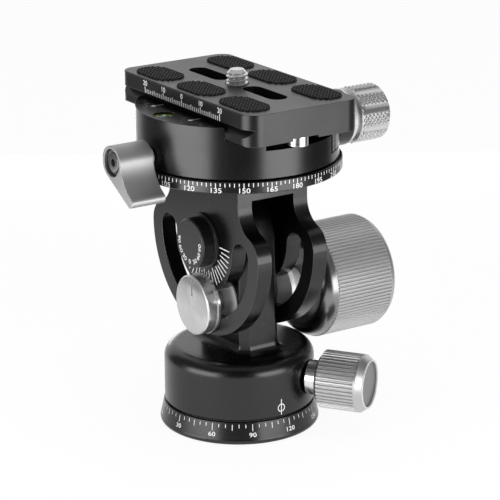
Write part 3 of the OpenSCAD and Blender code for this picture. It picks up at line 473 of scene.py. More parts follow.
# %% Moulded and printed finishes
def grained(name, colour, roughness, grain_mm, depth_mm, spread, metallic=0.0):
    """A plain moulded, printed or cast finish with a grain in its colour and its surface."""
    material, tree, shader = new_material(name, metallic, roughness)
    place = add_node(tree, "TexCoord").outputs["Object"]
    grain = add_node(tree, "TexNoise", {
        "Vector": place, "Scale": 1 / (grain_mm * MM), "Detail": 3.0, "Roughness": 0.55})
    shade = add_ramp(tree, grain, (0.3, tone(colour, 1 - spread)), (0.7, tone(colour, 1 + spread)))
    bump = add_node(tree, "Bump", {"Height": grain, "Strength": 0.3, "Distance": depth_mm * MM})
    feed(shader, {"Base Color": shade, "Normal": bump})
    return material


rubber = grained("nitrile_rubber", "#202020", 0.6, 0.35, 0.03, 0.18)
ink = grained("white_screen_print", "#e4e4e4", 0.55, 0.3, 0.005, 0.06)
grey_ink = grained("grey_screen_print", "#a2a2a2", 0.55, 0.3, 0.005, 0.1)
engraved = grained("engraved_line", "#868686", 0.5, 0.3, 0.005, 0.1, metallic=0.6)
# The dark grey of the nylon is painted shade for the seams where the washers lie.
shaded_nylon = grained("nylon_with_painted_shade", "#3c3b39", 0.5, 0.5, 0.01, 0.06)
brass = grained("turned_brass", "#b58d48", 0.3, 0.6, 0.01, 0.06, metallic=1.0)
level_rim = anodised("black_level_cup", "#1b1b1b", "#4a4a4a", 0.3)
print("small finishes:", rubber.name, ink.name, shaded_nylon.name, brass.name)

# %% [markdown]
# ## Two finishes on one piece
# The large knob is ribbed and blasted, but its shoulder was turned smooth, so it mirrors the dark
# parts beside it, and its tone there is darkened as painted shade. The small knob has a plain,
# smoother collar, whose tone is lightened as painted light where the knob shades it. Each is one
# solid, so the finish changes with the distance along the knob's own axis.


# %% Knob shoulder and collar
def change_before(material, axis, distance, near_painted_light_tone, near_values):
    """Give the part of a piece before a distance along an axis its own values, and a tone that paints
    shade on the large knob and light on the small one.
    """
    fade = 0.3 * MM
    tree = material.node_tree
    shader = tree.nodes["Principled BSDF"]
    place = add_node(tree, "TexCoord").outputs["Object"]
    along = add_node(tree, "VectorMath", {0: place, 1: axis}, operation="DOT_PRODUCT")
    beyond = add_node(tree, "MapRange", {
        "Value": along.outputs["Value"], "From Min": distance - fade, "From Max": distance})
    far_tone = shader.inputs["Base Color"].links[0].from_socket
    mixed = add_node(tree, "MixRGB", {"Fac": beyond, "Color1": tone(near_painted_light_tone), "Color2": far_tone})
    feed(shader, {"Base Color": mixed})
    for socket, near, far in near_values:
        value = add_node(tree, "MapRange", {"Value": beyond, "To Min": near, "To Max": far})
        feed(shader, {socket: value})


shoulder_l = 4.6 * MM
rib_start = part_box("tilt_knob")[0].x + shoulder_l
# The darker tone on the shoulder is painted shade for its dark side beside the fork.
change_before(
    knob_grey, (1, 0, 0), rib_start, "#8a8a8a", (("Roughness", 0.24, 0.42), ("Metallic", 1.0, 0.85)))
pan_knob_angle = math.radians(-55)
pan_knob_axis = (math.cos(pan_knob_angle), math.sin(pan_knob_angle), 0)
collar_end = 27.0 * MM
# The lighter tone on the collar is painted light, where the knob shades it.
change_before(pan_knob_silver, pan_knob_axis, collar_end, "#e8e8e8", (("Roughness", 0.2, 0.36),))
print("ribs start at x", round(rib_start / MM, 2), "collar ends", round(collar_end / MM, 2), "out")

# %% [markdown]
# ## Finishes on the solids
# Most solids already have the right shape, so they only get their finish. Each material goes on
# the object of its node, and the mesh stays as it was packed.

# %% Finish the solids
finish_of = {
    black_stem: "stem_body",
    black_body: "base_ring tilt_yoke top_dial clamp_body moving_jaw",
    black_cap: "pivot_cap_left pivot_cap_right",
    plate_grey: "quick_release_plate",
    spun_silver: "pointer_disc",
    lit_bush_silver: "thrust_bush_left thrust_bush_right knob_collar",
    washer_silver: "clamp_washer clamp_knob",
    turned_steel: "pan_spigot base_screws pan_retainer retainer_screws pan_lock_screw pivot_shaft"
                  " pivot_nut dial_screws top_spigot spigot_screw top_retainer top_retainer_screws"
                  " jaw_guide_pins jaw_springs jaw_screw stop_screws screw_clip camera_screw"
                  " clamp_bolt",
    pan_knob_silver: "pan_lock_knob",
    knob_grey: "tilt_knob",
    knob_disc: "tilt_knob_cap pan_knob_cap",
    lever_silver: "lever_stud lock_lever",
    plated_steel_painted_light: "lever_screw",
    brass: "pan_brake_shoe pivot_bush_left pivot_bush_right tilt_knob_insert top_brake_shoe",
    shaded_nylon: "pan_washer top_pan_washer",
    rubber: "plate_pads friction_washers",
    level_rim: "level_cup",
}
finished = 0
for finish, names in finish_of.items():
    for name in names.split():
        nodes[name].data.materials.clear()
        nodes[name].data.materials.append(finish)
        finished += 1
print("finished solids:", finished, "of", len(nodes))

# %% [markdown]
# ## Printed scales
# The numbers are typed as text and made meshes, the lines start as flat strips. They lie a hair above
# the surface, as ink lies on metal. On a flat face they are placed there. On the round dial, the
# sloped base and the pan's wall a Shrinkwrap modifier then wraps them on the solid.

# %% Helpers for print
INK_GAP = 0.03 * MM


def numeral(words, height, turn, place, wide):
    """One number as a mesh at a place, of a height, and so many times as wide as typed."""
    bpy.ops.object.text_add(location=place, rotation=turn)
    text = bpy.context.object
    text.data.body = words
    text.data.size = height
    text.data.offset = 0.008 * height
    text.data.resolution_u = 3
    text.data.align_x = "CENTER"
    text.data.align_y = "CENTER"
    only(text)
    bpy.ops.object.convert(target="MESH")
    mesh = bpy.context.object
    grow = height / mesh.dimensions.y
    mesh.scale = (grow * wide, grow, 1.0)
    return mesh


def wrap_on(piece, node):
    """Lay a printed piece on a solid."""
    wrap = piece.modifiers.new("wrap", "SHRINKWRAP")
    wrap.target = nodes[node]
    wrap.wrap_method = "NEAREST_SURFACEPOINT"
    wrap.wrap_mode = "ABOVE_SURFACE"
    wrap.offset = INK_GAP
    return apply_modifiers(piece)


def round_the_wall(angle_deg, radius, z):
    """Turn and place of a mark that faces outwards on an upright round wall."""
    angle = math.radians(angle_deg)
    turn = (QUARTER_TURN, 0.0, angle + QUARTER_TURN)
    return turn, (radius * math.cos(angle), radius * math.sin(angle), z)


def by_rank(step, long_every, middle_every, sizes):
    """The size of a line by its rank on the scale: long, middle or short."""
    if step % long_every == 0:
        return sizes[0]
    return sizes[1] if step % middle_every == 0 else sizes[2]


# %% [markdown]
# ## The dial's scale
# A full circle with a number every 15 degrees. The lines hang from the top edge: long at each
# number, middle every 5 degrees and short at 2.5.

# %% Dial scale
dial_low, dial_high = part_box("top_dial")
dial_r = dial_high.x + INK_GAP
dial_zero = -270
dial_line_w = 0.24 * MM
dial_line_sizes = (1.45 * MM, 1.15 * MM, 0.95 * MM)
dial_line_top = dial_high.z - 0.38 * MM
dial_digit_h = 1.48 * MM
dial_digit_z = dial_low.z + 0.9 * MM
dial_marks = []
for step in range(144):
    length = by_rank(step, 6, 2, dial_line_sizes)
    turn, place = round_the_wall(step * 2.5, dial_r, dial_line_top - length / 2)
    dial_marks.append(strip(dial_line_w, length, turn, place))
for value in range(0, 360, 15):
    turn, place = round_the_wall(dial_zero + value, dial_r, dial_digit_z)
    dial_marks.append(numeral(str(value), dial_digit_h, turn, place, wide=1.2))
dial_scale = wrap_on(join(dial_marks, "dial_scale"), "top_dial")
mount(dial_scale, "fork", ink, "white_nylon")

# %% [markdown]
# ## The base's scale
# The lower scale is printed on the sloped skirt, with a number every 30 degrees. It doesn't start at
# an axis of the model, so its zero is turned by the angle that the photograph shows.

# %% Base scale
base_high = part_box("base_ring")[1]
base_r = base_high.x
base_zero = -203.7
base_line_w = 0.2 * MM
base_line_sizes = (2.1 * MM, 1.75 * MM, 1.05 * MM)
base_line_top = base_high.z - 0.25 * MM
base_digit_h = 1.35 * MM
base_digit_z = 3.15 * MM
base_marks = []
for step in range(72):
    length = by_rank(step, 6, 3, base_line_sizes)
    turn, place = round_the_wall(base_zero + step * 5, base_r, base_line_top - length / 2)
    base_marks.append(strip(base_line_w, length, turn, place))
for value in range(0, 360, 30):
    turn, place = round_the_wall(base_zero + value, base_r, base_digit_z)
    base_marks.append(numeral(str(value), base_digit_h, turn, place, wide=1.25))
base_scale = wrap_on(join(base_marks, "base_scale"), "base_ring")
mount(base_scale, "base", ink, "white_nylon")

# %% [markdown]
# ## The index on the lower pan
# A small flat ring with a line through it, straight above the base's scale.

# %% Pan index
pan_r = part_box("stem_body")[1].x
index_angle = -90
index_ring_r = 1.25 * MM
index_ring_w = 0.27 * MM
index_ring_z = 9.96 * MM
index_line_w = 0.26 * MM
index_line_l = 4.8 * MM
index_line_z = 10.2 * MM
ring_turn, ring_place = round_the_wall(index_angle, pan_r, index_ring_z)
index_ring = flat_ring(40, index_ring_r, index_ring_w, ring_place, ring_turn)
line_turn, line_place = round_the_wall(index_angle, pan_r, index_line_z)
index_line = strip(index_line_w, index_line_l, line_turn, line_place)
pan_index = wrap_on(join([index_ring, index_line], "pan_index"), "stem_body")
mount(pan_index, "pan", ink, "white_nylon")

# %% [markdown]
# ## The tilt scale
# The cheek carries a fan of lines round the lower half of the pivot cap, one every 7.5 degrees and a
# long one every 30, and the cap carries the numbers. The disc below points at them.

# %% Tilt scale on the cheek and the cap
cheek_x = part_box("tilt_yoke")[0].x
cap_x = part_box("pivot_cap_left")[0].x
pivot = pivot_z * MM


def on_cheek(angle_deg, radius, x):
    """Place of a mark on the left side, at an angle from straight down towards -Y."""
    angle = math.radians(angle_deg)
    return (x, -radius * math.sin(angle), pivot - radius * math.cos(angle))


fan_line_w = 0.32 * MM
fan_inner = (8.4, 8.8, 9.4)
fan_outer = 13.6
cheek_marks = []
for step in range(-12, 13):
    degrees = step * 7.5
    inner = by_rank(step, 4, 2, fan_inner)
    place = on_cheek(degrees, (inner + fan_outer) / 2 * MM, cheek_x - INK_GAP)
    line = strip(fan_line_w, (fan_outer - inner) * MM, FACING_LEFT, place)
    line.rotation_euler.rotate_axis("Z", math.radians(degrees))
    cheek_marks.append(line)
cheek_scale = join(cheek_marks, "cheek_scale")
mount(cheek_scale, "fork", ink, "white_nylon")

cap_digit_r = 5.6 * MM
cap_digit_h = 1.4 * MM
cap_marks = []
for degrees in range(-90, 91, 30):
    place = on_cheek(degrees, cap_digit_r, cap_x - INK_GAP)
    digits = numeral(str(abs(degrees)), cap_digit_h, FACING_LEFT, place, wide=1.25)
    digits.rotation_euler.rotate_axis("Z", math.radians(degrees))
    cap_marks.append(digits)
cap_numbers = join(cap_marks, "cap_numbers")
mount(cap_numbers, "fork", ink, "white_nylon")

# %% [markdown]
# ## The pointer disc
# The left end of the clamp bolt carries a thick disc with a flange at its back, a narrow groove, a
# wall and a small chamfer, and a face that was spun bright. Wall and face have different finishes, so
# they are two pieces. The wall starts as a circle that is extruded step by step, and each step is
# scaled to its radius.

# %% Pointer disc wall
disc_low, disc_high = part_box("pointer_disc")
disc_x = disc_low.x
disc_r = (disc_high.z - disc_low.z) / 2
disc_middle = Vector((disc_high.x, 0.0, bolt_z * MM))
# Each step is how far forward it goes and the radius there, in millimetres.
disc_steps = ((0.9, 9.15), (0.0, 8.8), (0.25, 8.8), (0.0, 9.0), (2.85, 9.0), (0.3, 8.7))
disc_wall = settle(disc(96, disc_r, disc_middle, (0, -QUARTER_TURN, 0)))
pick(disc_wall)
radius_now = disc_r
for forward, radius in disc_steps:
    extrude((-forward * MM, 0, 0))
    grow = min(radius * MM, disc_r) / radius_now
    resize((1.0, grow, grow), disc_middle)
    radius_now = min(radius * MM, disc_r)
leave()
tidy_normals(disc_wall)
smooth(disc_wall, 30)
disc_wall.name = "pointer_disc_wall"
mount(disc_wall, "pan", rim_silver, "silver_anodised", "pointer_disc")

# %% Pointer disc face
face_gap = 0.12 * MM
face_sink = 0.3 * MM
face_edge = 0.05 * MM
face_back = min(corner.co.x for corner in disc_wall.data.vertices) + face_sink
face_place = ((disc_x + face_back) / 2, 0, bolt_z * MM)
disc_face = bar(96, radius_now - face_gap, face_back - disc_x, face_place, ALONG_X)
pick(disc_face, lambda face: face.normal.x < -0.9)
bpy.ops.mesh.bevel(offset=face_edge, segments=2, affect="EDGES")
leave()
smooth(disc_face, 50)
disc_face.name = "pointer_disc_face"
mount(disc_face, "pan", spun_silver, "silver_anodised")

# %% [markdown]
# ## The pointer
# A slim engraved wedge on the disc points at the scale. It is a flat plane whose upper edge is
# narrowed to a point.

# %% Pointer
wedge_w = 0.85 * MM
wedge_l = 5.0 * MM
wedge_tip = 0.08
wedge_z = (bolt_z + 5.4) * MM
wedge = settle(strip(wedge_w, wedge_l, FACING_LEFT, (disc_x - INK_GAP, 0.0, wedge_z)))
pick(wedge, lambda corner: corner.co.z > wedge_z, "VERT")
resize((1.0, wedge_tip, 1.0), (disc_x, 0.0, bolt_z * MM))
leave()
wedge.name = "pointer_wedge"
mount(wedge, "pan", engraved, "steel")

# %% [markdown]
# ## The plate's scale
# One line per millimetre along the left side of the plate, longer every 5 and every 10, with numbers
# that count outwards from the screw.

# %% Plate scale
plate_low, plate_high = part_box("quick_release_plate")
side_x = plate_low.x - INK_GAP
flange_h = 4.33 * MM
flange_z = plate_high.z - flange_h
plate_line_w = 0.3 * MM
plate_line_sizes = (1.95 * MM, 1.6 * MM, 1.25 * MM)
plate_line_foot = flange_z + 0.1 * MM
plate_digit_h = 1.5 * MM
plate_digit_z = flange_z + 2.95 * MM
plate_marks = []
for step in range(-20, 21):
    length = by_rank(step, 10, 5, plate_line_sizes)
    place = (side_x, step * MM, plate_line_foot + length / 2)
    plate_marks.append(strip(plate_line_w, length, FACING_LEFT, place))
for step in range(-20, 21, 10):
    place = (side_x, step * MM, plate_digit_z)
    plate_marks.append(numeral(str(abs(step)), plate_digit_h, FACING_LEFT, place, wide=1.15))
plate_scale = join(plate_marks, "plate_scale")
mount(plate_scale, "plate", ink, "white_nylon")

# %% [markdown]
# ## Marks on the fixed jaw
# Two short lines with a dot beside the level show how far the plate may slide.

# %% Jaw marks
jaw_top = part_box("clamp_body")[1].z + INK_GAP
dot_x = -22.4 * MM
dot_r = 0.75 * MM
dash_x = -20.3 * MM
dash_l = 2.8 * MM
dash_w = 0.24 * MM
jaw_marks = []
for mark_y in (-10 * MM, 10 * MM):
    jaw_marks.append(disc(24, dot_r, (dot_x, mark_y, jaw_top)))
    jaw_marks.append(strip(dash_l, dash_w, (0, 0, 0), (dash_x, mark_y, jaw_top)))
jaw_index = join(jaw_marks, "jaw_index")
mount(jaw_index, "clamp", grey_ink, "white_nylon")

# %% [markdown]
# ## The rubber pads
# Each pad is a stadium that lies a little above the plate, covered to its edge with rows of small
# blunt bumps. One bump is modelled and repeated with two Array modifiers, and the block of bumps is
# trimmed with the pad's own outline, as the mould does it. The pad is then copied to its six places.

# %% Pad outline
pad_w = 9.6 * MM
pad_l = 18.0 * MM
pad_x = 12.3 * MM
pad_pitch = 22.4 * MM
pad_base = plate_high.z - 0.75 * MM
pad_skin = plate_high.z + 0.04 * MM
pad_top = plate_high.z + 0.5 * MM
pad = block((pad_w, pad_l, pad_skin - pad_base), (0, 0, (pad_base + pad_skin) / 2))
heights = [corner.co.z for corner in pad.data.vertices]
pick(pad, lambda edge: abs(heights[edge.vertices[0]] - heights[edge.vertices[1]]) > 0.1 * MM, "EDGE")
bpy.ops.mesh.bevel(offset=pad_w / 2 - 0.01 * MM, segments=12, affect="EDGES")
leave()
outline = twin(pad)
outline.scale = (1.0, 1.0, 2.0)
outline.location.z = -pad_base
settle(outline)
print("pad", round(pad_w / MM, 1), "by", round(pad_l / MM, 1), "mm")

# %% Pad bumps
bump_pitch = (1.18 * MM, 1.4 * MM)
bump_w = 0.95 * MM
bump_l = 1.2 * MM
bump_foot = pad_skin - 0.05 * MM
bump_taper = (0.55, 0.65, 1.0)
columns = 9
rows = 13
first = Vector((-(columns - 1) / 2 * bump_pitch[0], -(rows - 1) / 2 * bump_pitch[1], 0.0))
bump_size = (bump_w, bump_l, pad_top - bump_foot)
bumps = block(bump_size, (first.x, first.y, (bump_foot + pad_top) / 2))
pick(bumps, lambda face: face.normal.z > 0.9)
resize(bump_taper, (first.x, first.y, pad_top))
leave()
for direction, count in enumerate((columns, rows)):
    array = bumps.modifiers.new("array", "ARRAY")
    array.count = count
    array.use_relative_offset = False
    array.use_constant_offset = True
    step = Vector()
    step[direction] = bump_pitch[direction]
    array.constant_offset_displace = step
carve(bumps, outline, "INTERSECT")
print("bumps on a pad before the trim:", columns * rows)

# %% Six pads
pad = join([pad, bumps], "plate_pads_ribbed")
copies = []
for side in (-1, 1):
    for row in (-1, 0, 1):
        copy = twin(pad)
        copy.location = (side * pad_x, row * pad_pitch, 0.0)
        copies.append(copy)
bpy.data.objects.remove(pad)
pads = join(copies, "plate_pads_ribbed")
mount(pads, "plate", rubber, "rubber", "plate_pads")

# %% [markdown]
# ## Threads
# A real thread is a ridge that climbs round a core by one pitch per turn. The ridge starts as a
# plane whose foot is left wide and whose crest is made narrow, and a Screw modifier carries it round.
# The ends of the ridge are then filled.


# %% Thread helper
def thread_ridge(root, crest, pitch, start, turns):
    """A climbing ridge round Z between two radii, from a height, for a number of turns."""
    foot_w = pitch * 0.9
    crest_ratio = 0.2
    place = ((root + crest) / 2, 0, start)
    ridge = settle(strip(abs(crest - root), foot_w, (QUARTER_TURN, 0, 0), place))
    pick(ridge, lambda corner: abs(corner.co.x - crest) < 1e-6, "VERT")
    resize((1.0, 1.0, crest_ratio), (crest, 0, start))
    leave()
    climb = ridge.modifiers.new("climb", "SCREW")
    climb.axis = "Z"
    climb.angle = math.radians(360)
    climb.screw_offset = pitch
    climb.iterations = turns
    climb.steps = 36
    climb.render_steps = 36
    climb.use_merge_vertices = False
    apply_modifiers(ridge)
    pick(ridge, lambda corner: False, "VERT")
    bpy.ops.mesh.select_non_manifold()
    bpy.ops.mesh.fill_holes(sides=6)
    leave()
    tidy_normals(ridge)
    return ridge


# %% [markdown]
# ## The camera screw
# A quarter inch screw with twenty threads to the inch. Only its threaded end shows above the plate,
# and underneath it has a broad slotted head, which a coin turns. The end is turned to a cone so that
# the thread starts easily: the ridge is made too long, and what lies outside the cone is cut away.

# %% Camera screw
screw_low, screw_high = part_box("camera_screw")
camera_pitch = 25.4 / 20 * MM
crest_r = 3.175 * MM
root_r = 2.55 * MM
tip_r = 2.0 * MM
tip_rim = 0.5 * MM
tip_dish = 0.1 * MM
cone_l = 1.4 * MM
head_r = screw_high.x
head_t = 3.0 * MM
slot_size = (1.4 * MM, 20 * MM, 2.4 * MM)
shank_top = plate_high.z + 0.1 * MM
cone_foot = screw_high.z - cone_l
core_top = screw_high.z - cone_l * (root_r - tip_r) / (crest_r - tip_r)
screw_body = bar(64, head_r, head_t, (0, 0, screw_low.z + head_t / 2))
pick(screw_body, lambda face: face.normal.z > 0.9)
inset(head_r - crest_r + 0.02 * MM)
extrude((0, 0, shank_top - screw_low.z - head_t))
inset(crest_r - root_r)
extrude((0, 0, core_top - shank_top))
extrude((0, 0, screw_high.z - core_top))
resize((tip_r / root_r, tip_r / root_r, 1.0), (0, 0, screw_high.z))
inset(tip_rim)
bpy.ops.transform.translate(value=(0, 0, -tip_dish))
leave()
carve(screw_body, block(slot_size, (0, 0, screw_low.z)))
print("camera screw", round((screw_high.z - screw_low.z) / MM, 2), "mm long")

# %% Camera screw thread
ridge_start = plate_high.z - 0.9 * MM
ridge_turns = 5
ridge = thread_ridge(root_r - 0.05 * MM, crest_r, camera_pitch, ridge_start, ridge_turns)
cone = bar(
    64, crest_r + 0.01 * MM, cone_foot - shank_top, (0, 0, (cone_foot + shank_top) / 2))
pick(cone, lambda face: face.normal.z > 0.9)
extrude((0, 0, screw_high.z - cone_foot))
resize((tip_r / crest_r, tip_r / crest_r, 1.0), (0, 0, screw_high.z))
leave()
carve(ridge, cone, "INTERSECT")
camera_screw = join([screw_body, ridge], "camera_screw_threaded")
smooth(camera_screw, 32)
mount(camera_screw, "camera_bolt", bolt_steel, "steel", "camera_screw")

# %% [markdown]
# ## The thread in the base
# The same ridge, pointing inwards, shows in the hole under the base, which takes a 3/8 inch stud with
# sixteen threads to the inch.

# %% Base thread
base_pitch = 25.4 / 16 * MM
base_root_r = 4.74 * MM
base_crest_r = 4.2 * MM
base_start = 0.9 * MM
base_turns = 6
base_ridge = thread_ridge(base_root_r, base_crest_r, base_pitch, base_start, base_turns)
base_ridge.name = "base_thread_ridge"
smooth(base_ridge, 32)
mount(base_ridge, "base", turned_steel, "steel")

# %% [markdown]
# ## The lever's screw and stud
# The lever turns on a threaded stud, and a socket screw with a ring under its head holds it. The
# screw is a cylinder whose outer face is inset and pushed in and out: first the ring, then a narrow
# groove, then the head. A six-sided rod cuts the socket, and the stud gets two turns of the ridge.

# %% Lever screw
hub_low, hub_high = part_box("lever_screw")
hub_z = (hub_low.z + hub_high.z) / 2
ring_r = (hub_high.z - hub_low.z) / 2
ring_face = hub_low.x + 0.45 * MM
head_back = hub_low.x + 3.0 * MM
shank_r = 2.0 * MM
hexagon_r = 1.25 * MM
hexagon_l = 3.0 * MM
# Each step is how much narrower the face gets and how far in it then goes, in millimetres.
head_steps = ((0.7, 0.3), (0.14, -0.75))
ring_place = ((ring_face + head_back) / 2, 0, hub_z)
socket_screw = bar(72, ring_r, head_back - ring_face, ring_place, ALONG_X)
pick(socket_screw, lambda face: face.normal.x < -0.9)
for narrower, move in head_steps:
    inset(narrower * MM)
    extrude((move * MM, 0, 0))
leave()
pick(socket_screw, lambda face: face.normal.x > 0.9 and face.area > 5 * MM ** 2)
inset(ring_r - shank_r)
extrude((hub_high.x - head_back, 0, 0))
leave()
soften(socket_screw, 0.16 * MM, 2, 50)
carve(socket_screw, bar(6, hexagon_r, hexagon_l, (hub_low.x, 0, hub_z), ALONG_X))
socket_screw.name = "lever_screw_socket"
smooth(socket_screw, 30)
mount(socket_screw, "lever", screw_steel, "steel", "lever_screw")

# %% Lever stud
stud_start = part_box("lock_lever")[1].x - 0.05 * MM
stud_root_r = 2.6 * MM
stud_crest_r = 3.1 * MM
stud_pitch = 0.6 * MM
stud_ridge = thread_ridge(stud_root_r, stud_crest_r, stud_pitch, 0.3 * MM, 2)
stud_ridge.rotation_euler = ALONG_X
stud_ridge.location = (stud_start, 0, hub_z)
settle(stud_ridge)
stud_ridge.name = "lever_stud_ridge"
smooth(stud_ridge, 32)
mount(stud_ridge, "lever", plated_steel_painted_light, "steel")

# %% [markdown]
# ## The clamp knob
# A diamond knurl between eight smooth flutes. The knurl is made flat: a grid is poked, its old edges
# are dissolved so that diamonds remain, and each diamond is inset and raised into a blunt pyramid. A
# Bend wraps the sheet into a sleeve, its ends are closed, and eight rods with round ends cut the
# flutes.

# %% Clamp knob
knob_low, knob_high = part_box("clamp_knob")
knob_r = knob_high.z - jaw_z * MM
knob_l = knob_high.x - knob_low.x
knob_x = (knob_low.x + knob_high.x) / 2
chamfer = 1.0 * MM
sheet_l = knob_l - 2 * chamfer
root = knob_r - 0.3 * MM
diamond_margin = 0.3 * MM
diamond_rise = 0.32 * MM
around = 32
along = 7
bpy.ops.mesh.primitive_grid_add(
    x_subdivisions=around, y_subdivisions=along, size=1.0, rotation=(QUARTER_TURN, 0, 0))
sleeve = bpy.context.object
sleeve.scale = (2 * math.pi * root, sheet_l, 1.0)
settle(sleeve)
pick(sleeve, what="EDGE")
bpy.ops.mesh.mark_seam(clear=False)
leave()
pick(sleeve)
bpy.ops.mesh.poke()
leave()
pick(sleeve, lambda edge: edge.use_seam, "EDGE")
bpy.ops.mesh.dissolve_edges(use_verts=False)
leave()
pick(sleeve, lambda face: len(face.vertices) == 4)
bpy.ops.mesh.inset(use_individual=True, thickness=diamond_margin, depth=diamond_rise)
leave()
bend = sleeve.modifiers.new("bend", "SIMPLE_DEFORM")
bend.deform_method = "BEND"
bend.deform_axis = "Z"
bend.angle = math.radians(360)
apply_modifiers(sleeve)
tidy_normals(sleeve)
middle = sum((v.co for v in sleeve.data.vertices), Vector()) / len(sleeve.data.vertices)
sleeve.location = -middle
settle(sleeve)
print("sleeve radius", round(max(v.co.xy.length for v in sleeve.data.vertices) / MM, 2), "mm")

# %% Clamp knob ends
end_wall = 0.15 * MM
end_ratio = 0.885
dish_w = 2.2 * MM
dish_depth = 0.2 * MM
for end in (-1, 1):
    heights = [corner.co.z for corner in sleeve.data.vertices]
    pick(sleeve, lambda edge: all(
        abs(heights[corner] - end * sheet_l / 2) < 1e-5 for corner in edge.vertices), "EDGE")
    extrude((0, 0, end * end_wall))
    extrude((0, 0, end * (chamfer - end_wall)))
    resize((end_ratio, end_ratio, 1.0), (0, 0, 0))
    bpy.ops.mesh.edge_face_add()
    inset(dish_w)
    bpy.ops.transform.translate(value=(0, 0, -end * dish_depth))
    leave()
tidy_normals(sleeve)
sleeve.rotation_euler = ALONG_X
sleeve.location = (knob_x, 0, jaw_z * MM)
settle(sleeve)
print("clamp knob closed, faces:", len(sleeve.data.polygons))

# %% Clamp knob flutes
flute_count = 8
flute_start = 24
flute_r = 2.6 * MM
flute_depth = 0.85 * MM
rod_reach = knob_r + flute_r - flute_depth
rod_l = 1.2 * knob_l
rod_x = knob_x + 0.1 * knob_l + 0.5 * MM
rod_end = 0.85 * flute_r
rods = []
for number in range(flute_count):
    turn = math.radians(360 / flute_count * number + flute_start)
    place = (rod_x, rod_reach * math.cos(turn), jaw_z * MM + rod_reach * math.sin(turn))
    rod = bar(40, flute_r, rod_l, place, ALONG_X)
    pick(rod, lambda face: face.normal.x < -0.9)
    bpy.ops.mesh.bevel(offset=rod_end, segments=7, affect="EDGES")
    leave()
    rods.append(rod)
carve(sleeve, join(rods, "flute_cutter"))
sleeve.name = "clamp_knob_knurled"
smooth(sleeve, 28)
mount(sleeve, "jaw_knob", knurl_silver, "silver_anodised", "clamp_knob")

# %% [markdown]
# ## The rim of the small knob's end
# The end disc of the lower knob lies in a recess, and the knob's rim stands round it as a bright
# lip. The lip is a flat ring that is drawn up along the knob's own axis.

# %% Pan knob lip
lip_axis = Vector(pan_knob_axis)
end_disc = nodes["pan_knob_cap"].data.vertices
disc_out = max(corner.co.dot(lip_axis) for corner in end_disc)
end_low, end_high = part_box("pan_knob_cap")
lip_inner_r = (end_high.z - end_low.z) / 2
lip_wide = 0.55 * MM
lip_tall = 0.65 * MM
lip_place = lip_axis * disc_out + Vector((0, 0, (end_low.z + end_high.z) / 2))
lip_turn = (0, QUARTER_TURN, pan_knob_angle)
knob_lip = flat_ring(72, lip_inner_r + lip_wide, lip_wide, lip_place, lip_turn)
pick(knob_lip)
extrude(lip_axis * lip_tall)
leave()
tidy_normals(knob_lip)
soften(knob_lip, 0.14 * MM, 3)
smooth(knob_lip, 40)
knob_lip.name = "pan_knob_lip"
mount(knob_lip, "pan_lock", washer_silver, "silver_anodised")

# %% [markdown]
# ## The round level
# A vial with a domed top sits deep in its cup. The tinted liquid is painted brightest at its rim,
# as painted light for the light that comes through the cup's wall, and darker in the middle, inside
# a black ring. The colour therefore follows the distance from the vial's axis. The bubble is a
# flattened ball.

# %% Level liquid
vial_low, vial_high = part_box("level_vial")
vial_middle = (vial_low + vial_high) / 2
vial_r = (vial_high.x - vial_low.x) / 2
liquid, liquid_tree, liquid_shader = new_material("level_liquid", 0.0, 0.14)
liquid_place = add_node(liquid_tree, "TexCoord").outputs["Object"]
from_axis = add_node(liquid_tree, "Mapping", {
    "Vector": liquid_place, "Location": (-vial_middle.x, -vial_middle.y, 0.0)})
flat = add_node(liquid_tree, "VectorMath", {
    0: from_axis, 1: (1 / vial_r, 1 / vial_r, 0.0)}, operation="MULTIPLY")
reach = add_node(liquid_tree, "VectorMath", {0: flat}, operation="LENGTH")
# The bright outer stops are painted light for the light through the cup's wall.
tint_and_painted_glow = add_ramp(
    liquid_tree, reach.outputs["Value"],
    (0.0, tone("#4c6456")), (0.46, tone("#4f6350")), (0.5, tone("#161a15")),
    (0.57, tone("#161a15")), (0.61, tone("#8f9c4c")), (1.0, tone("#b4c24e")))
feed(liquid_shader, {"Base Color": tint_and_painted_glow})
liquid_shader.inputs["Coat Weight"].default_value = 0.6
print("level liquid reaches", round(vial_r / MM, 2), "mm from its axis")

# %% Level
dome_sink = 0.1 * MM
dome_foot = vial_high.z - 0.35 * MM - dome_sink
# Each step is how much narrower the dome gets and how far it then rises, in millimetres.
dome_steps = ((0.9, 0.22), (1.0, 0.1))
vial_place = (vial_middle.x, 0, (vial_low.z + dome_foot) / 2)
vial = bar(48, vial_r, dome_foot - vial_low.z, vial_place)
pick(vial, lambda face: face.normal.z > 0.9)
for narrower, rise in dome_steps:
    inset(narrower * MM)
    bpy.ops.transform.translate(value=(0, 0, rise * MM))
leave()
smooth(vial, 40)
vial.name = "level_dome"
mount(vial, "clamp", liquid, "level_liquid", "level_vial")

# %% Level bubble
bubble_z = vial_high.z - dome_sink - 0.1 * MM
bubble_r = 0.65 * MM
bubble_flat = 0.3
bubble_place = (vial_middle.x + 0.4 * MM, 0.2 * MM, bubble_z)
bpy.ops.mesh.primitive_uv_sphere_add(
    segments=24, ring_count=12, radius=bubble_r, location=bubble_place)
bubble = bpy.context.object
bubble.scale = (1.0, 1.0, bubble_flat)
settle(bubble)
pick(bubble, lambda face: face.center.z < bubble_z - 0.15 * MM)
bpy.ops.mesh.delete(type="FACE")
leave()
only(bubble)
bpy.ops.object.shade_smooth()
bubble.name = "level_bubble"
bubble_skin = grained("level_bubble_skin", "#8a9c80", 0.06, 2.0, 0.0, 0.05)
mount(bubble, "clamp", bubble_skin, "level_liquid")

